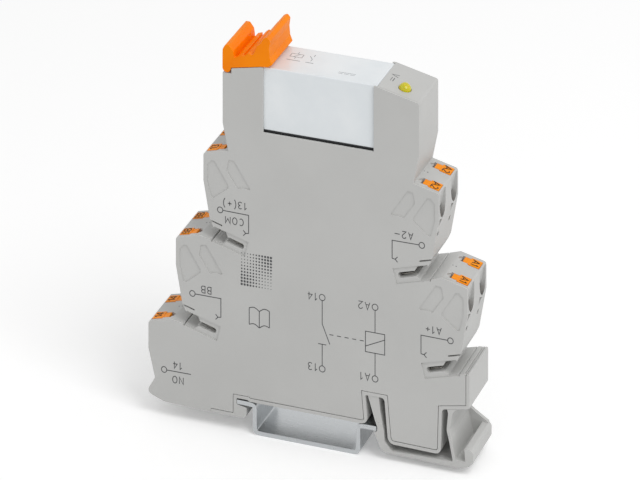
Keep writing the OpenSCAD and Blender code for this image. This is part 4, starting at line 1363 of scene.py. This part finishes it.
@dataclass(frozen=True)
class RelayTopMarks(SubAssembly):
    """Plain coil and contact symbols and two short bars on the relay's top, with a DC sign further on.

    Places are along X and Y from the middle of the top's print.
    """

    place: Place = (3.0, 0.0, 79.54)
    line_mm: float = 0.13
    coil_low: Point = (-10.2, 1.2)
    coil_high: Point = (-7.2, 2.8)
    slash_in: float = 0.9
    lead_up: float = 3.8
    lead_low: float = 0.3
    contact_x: float = -4.6
    lever: tuple[Point, Point] = ((-4.6, 1.4), (-5.6, 2.8))
    fixed_low: float = 2.7
    bars: tuple[tuple[Point, Point], ...] = (((-10.4, -0.7), (-7.0, -0.5)), ((-5.6, -0.7), (-3.6, -0.5)))
    dc_start: Point = (3.6, -2.6)
    dc_long: float = 4.2
    dash_drop: float = 0.6
    dash_long: float = 1.1
    dash_pitch: float = 1.5

    def build(self) -> list[bpy.types.Object]:
        """Makes the print.

        Returns:
            The one piece.
        """
        ink = Print(self.place, (1, 0, 0), (0, 1, 0), line_mm=self.line_mm)
        (x0, y0), (x1, y1) = self.coil_low, self.coil_high
        middle = (x0 + x1) / 2
        ink.line([(x0, y0), (x1, y0), (x1, y1), (x0, y1), (x0, y0)])
        ink.line([(x0 + self.slash_in, y0), (x1 - self.slash_in, y1)])
        ink.line([(middle, y1), (middle, self.lead_up)])
        ink.line([(middle, y0), (middle, self.lead_low)])
        ink.line([(self.contact_x, self.lead_low), *self.lever])
        ink.line([(self.contact_x, self.lead_up), (self.contact_x, self.fixed_low)])
        for low, high in self.bars:
            ink.bar(low, high)
        x, y = self.dc_start
        ink.line([(x, y), (x + self.dc_long, y)])
        for k in range(3):
            start = x + self.dash_pitch * k
            ink.line([(start, y - self.dash_drop), (start + self.dash_long, y - self.dash_drop)])
        return [ink.build("relay_top_marks", Finish.PALE_INK, "relay")]


@dataclass(frozen=True)
class LampMarks(SubAssembly):
    """A volt sign and a DC sign on the sloping shoulder beside the lamp."""

    place: Place = (17.6, 0.0, 79.6)
    shoulder: Point = (10.5, 2.3)
    line_mm: float = 0.17
    volt_at: Point = (-1.6, 1.1)
    words_mm: float = 1.7
    dc_start: Point = (0.3, 2.2)
    dc_long: float = 1.6
    dash_drop: float = 0.6
    dash_long: float = 0.4
    dash_pitch: float = 0.6

    def build(self) -> list[bpy.types.Object]:
        """Makes the print.

        Returns:
            The one piece.
        """
        drop = math.atan2(self.shoulder[1], self.shoulder[0])
        along = (math.cos(drop), 0.0, -math.sin(drop))
        ink = Print(self.place, (0, -1, 0), along, line_mm=self.line_mm)
        ink.words("V", self.volt_at, self.words_mm)
        x, y = self.dc_start
        ink.line([(x, y), (x + self.dc_long, y)])
        for k in range(3):
            start = x + self.dash_pitch * k
            ink.line([(start, y - self.dash_drop), (start + self.dash_long, y - self.dash_drop)])
        return [ink.build("lamp_marks", Finish.DARK_INK, "housing")]


@dataclass(frozen=True)
class TopHatRail(SubAssembly):
    """The short length of rolled 35 mm rail that the module is clipped to. It isn't part of the object.

    Its upright walls stand at wall_x, and each bend is a few points measured from its sharp corner.
    """

    width: float = 35.0
    depth: float = 7.5
    metal: float = 1.0
    wall_x: float = 13.0
    upper_bend: tuple[Point, ...] = ((2.2, 0.0), (0.4, -0.1), (0.0, -0.6), (0.0, -2.5))
    lower_bend: tuple[Point, ...] = ((0.0, 1.6), (-0.1, 0.3), (-1.0, 0.0), (-3.0, 0.0))
    half_long: float = 7.0
    crease_deg: float = 40.0

    def middle_line(self) -> np.ndarray:
        """Draws the line through the middle of the metal, with its four bends rounded.

        Returns:
            Its points in X and Z.
        """
        top, low = -self.metal / 2, self.metal / 2 - self.depth
        right = np.array([(self.width / 2, top),
                          *((self.wall_x + x, top + z) for x, z in self.upper_bend),
                          *((self.wall_x + x, low + z) for x, z in self.lower_bend), (0.0, low)])
        return curved(np.vstack([right, (right * (-1, 1))[-2::-1]]))

    def build(self) -> list[bpy.types.Object]:
        """Makes the rail: the middle line, half the metal to either side, drawn out along Y.

        Returns:
            The one piece.
        """
        path = self.middle_line()
        ahead = np.gradient(path, axis=0)
        ahead /= np.linalg.norm(ahead, axis=1)[:, None]
        side = np.c_[-ahead[:, 1], ahead[:, 0]] * self.metal / 2
        ring = np.vstack([path + side, (path - side)[::-1]])
        count, half = len(ring), len(path)
        ends = [np.c_[ring[:, 0], np.full(count, y), ring[:, 1]] for y in (-self.half_long, self.half_long)]
        walls = [(i, (i + 1) % count, count + (i + 1) % count, count + i) for i in range(count)]
        caps = [(i, 2 * half - 1 - i, 2 * half - 2 - i, i + 1) for i in range(half - 1)]
        caps += [tuple(count + i for i in reversed(face)) for face in caps]
        mesh = mesh_of("rail_length", np.vstack(ends) * MM, walls + caps)
        rail = link(bpy.data.objects.new("rail_length", mesh))
        mesh.shade_smooth()
        mesh.set_sharp_from_angle(angle=math.radians(self.crease_deg))
        dress(rail, Finish.RAIL_STEEL)
        return [rail]


def seen_directly(tree: bpy.types.NodeTree) -> bpy.types.NodeSocket:
    """One for rays from the camera, or off and through gloss, and zero for those that light the object.

    Args:
        tree: The node tree of a material or a world.

    Returns:
        The socket that holds the value.
    """
    path = node(tree, "ShaderNodeLightPath")
    seen = path.outputs["Is Camera Ray"]
    for other in ("Is Glossy Ray", "Is Transmission Ray"):
        seen = node(tree, "ShaderNodeMath", {0: seen, 1: path.outputs[other]}, operation="MAXIMUM").outputs[0]
    return seen


@dataclass(frozen=True)
class Studio(SubAssembly):
    """Plain pale floor, soft light and the camera, which keeps upright lines parallel as the photograph does.

    The camera looks ahead with a drift sideways and a fall downwards, as shares of the way ahead.
    """

    camera_mm: Place = (404.3, -1094.3, 603.5)
    heading_deg: float = 20.4
    drift: float = 0.00284
    fall: float = 0.48511
    lens_mm: float = 307.85
    sensor_mm: float = 36.0
    clip_m: Point = (0.05, 50.0)
    floor_z_mm: float = -7.52
    floor_reach_m: float = 8.0
    floor_colour: str = "#f3f3f3"
    floor_glow: float = 0.22
    world_level: float = 0.64
    key_at_m: Place = (0.55, -0.35, 0.85)
    key_size_m: float = 0.5
    key_watts: float = 4.2

    def camera(self) -> bpy.types.Object:
        """Makes the camera. Its upright axis stays vertical while it looks down, so its matrix is sheared.

        Returns:
            The scene's camera.
        """
        turn = math.radians(self.heading_deg)
        ahead = np.array([-math.sin(turn), math.cos(turn), 0.0])
        right = np.array([math.cos(turn), math.sin(turn), 0.0])
        up = np.array([0.0, 0.0, 1.0])
        back = -(ahead + self.drift * right - self.fall * up)
        back /= np.linalg.norm(back)
        place = np.eye(4)
        place[:3, 0], place[:3, 1], place[:3, 2] = right, up, back
        place[:3, 3] = np.array(self.camera_mm) * MM
        data = bpy.data.cameras.new("camera")
        data.sensor_width, data.lens = self.sensor_mm, self.lens_mm
        data.clip_start, data.clip_end = self.clip_m
        camera = link(bpy.data.objects.new("camera", data))
        stand = link(bpy.data.objects.new("camera_stand", None))
        camera.parent = stand
        camera.matrix_parent_inverse = Matrix(place.tolist())
        bpy.context.scene.camera = camera
        return camera

    def key_light(self) -> bpy.types.Object:
        """Adds the one soft square light, which faces the object.

        Returns:
            The light's object.
        """
        data = bpy.data.lights.new("key_light", "AREA")
        data.shape, data.size, data.energy = "SQUARE", self.key_size_m, self.key_watts
        lamp = link(bpy.data.objects.new("key_light", data))
        lamp.location = self.key_at_m
        lamp.rotation_euler = Vector(self.key_at_m).to_track_quat("Z", "Y").to_euler()
        return lamp

    def floor(self) -> bpy.types.Object:
        """Makes the pale floor. It keeps the object's shadow, and the camera sees it as white elsewhere.

        Returns:
            The floor's object.
        """
        reach = self.floor_reach_m
        corners = np.array([[-reach, -reach], [reach, -reach], [reach, reach], [-reach, reach]])
        mesh = mesh_of("floor", np.c_[corners, np.full(4, self.floor_z_mm * MM)], [(0, 1, 2, 3)])
        floor = link(bpy.data.objects.new("floor", mesh))
        material, tree = new_material("pale_floor")
        lift = node(tree, "ShaderNodeMath", {0: seen_directly(tree), 1: self.floor_glow},
                    operation="MULTIPLY")
        paint = node(tree, "ShaderNodeBsdfDiffuse", {"Color": linear(self.floor_colour)})
        glow = node(tree, "ShaderNodeEmission", {"Color": linear("#ffffff"), "Strength": lift.outputs[0]})
        both = node(tree, "ShaderNodeAddShader", {0: paint.outputs["BSDF"], 1: glow.outputs["Emission"]})
        node(tree, "ShaderNodeOutputMaterial", {"Surface": both.outputs["Shader"]})
        mesh.materials.append(material)
        return floor

    def world(self) -> None:
        """Makes the even light from all round, and white behind the object."""
        world = bpy.data.worlds.new("studio_light")
        world.use_nodes = True
        tree = world.node_tree
        tree.nodes.clear()
        level = node(tree, "ShaderNodeMapRange",
                     {"Value": seen_directly(tree), "To Min": self.world_level, "To Max": 1.0})
        sky = node(tree, "ShaderNodeBackground",
                   {"Color": linear("#ffffff"), "Strength": level.outputs["Result"]})
        node(tree, "ShaderNodeOutputWorld", {"Surface": sky.outputs["Background"]})
        bpy.context.scene.world = world

    def build(self) -> list[bpy.types.Object]:
        """Sets up the whole studio.

        Returns:
            The camera, the floor and the light.
        """
        camera, floor = self.camera(), self.floor()
        self.world()
        bpy.context.scene.view_settings.view_transform = "Standard"
        return [camera, floor, self.key_light()]


def main() -> None:
    """Builds the dressed relay sub-assembly by sub-assembly."""
    logging.basicConfig(level=logging.INFO, format="%(name)s: %(message)s")
    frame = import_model()
    nodes = frame["nodes"]
    parts = (Studio(), Housing(nodes), RailFoot(nodes), RetainingBracket(nodes), PlugInRelay(nodes),
             Terminals(nodes), InnerParts(nodes), CoverPrints(), TierPrints(), RelayTopMarks(), LampMarks(),
             TopHatRail())
    for part in parts:
        for piece in part.build():
            LOG.info("%s: %s", type(part).__name__, piece.name)


if __name__ == "__main__":
    main()
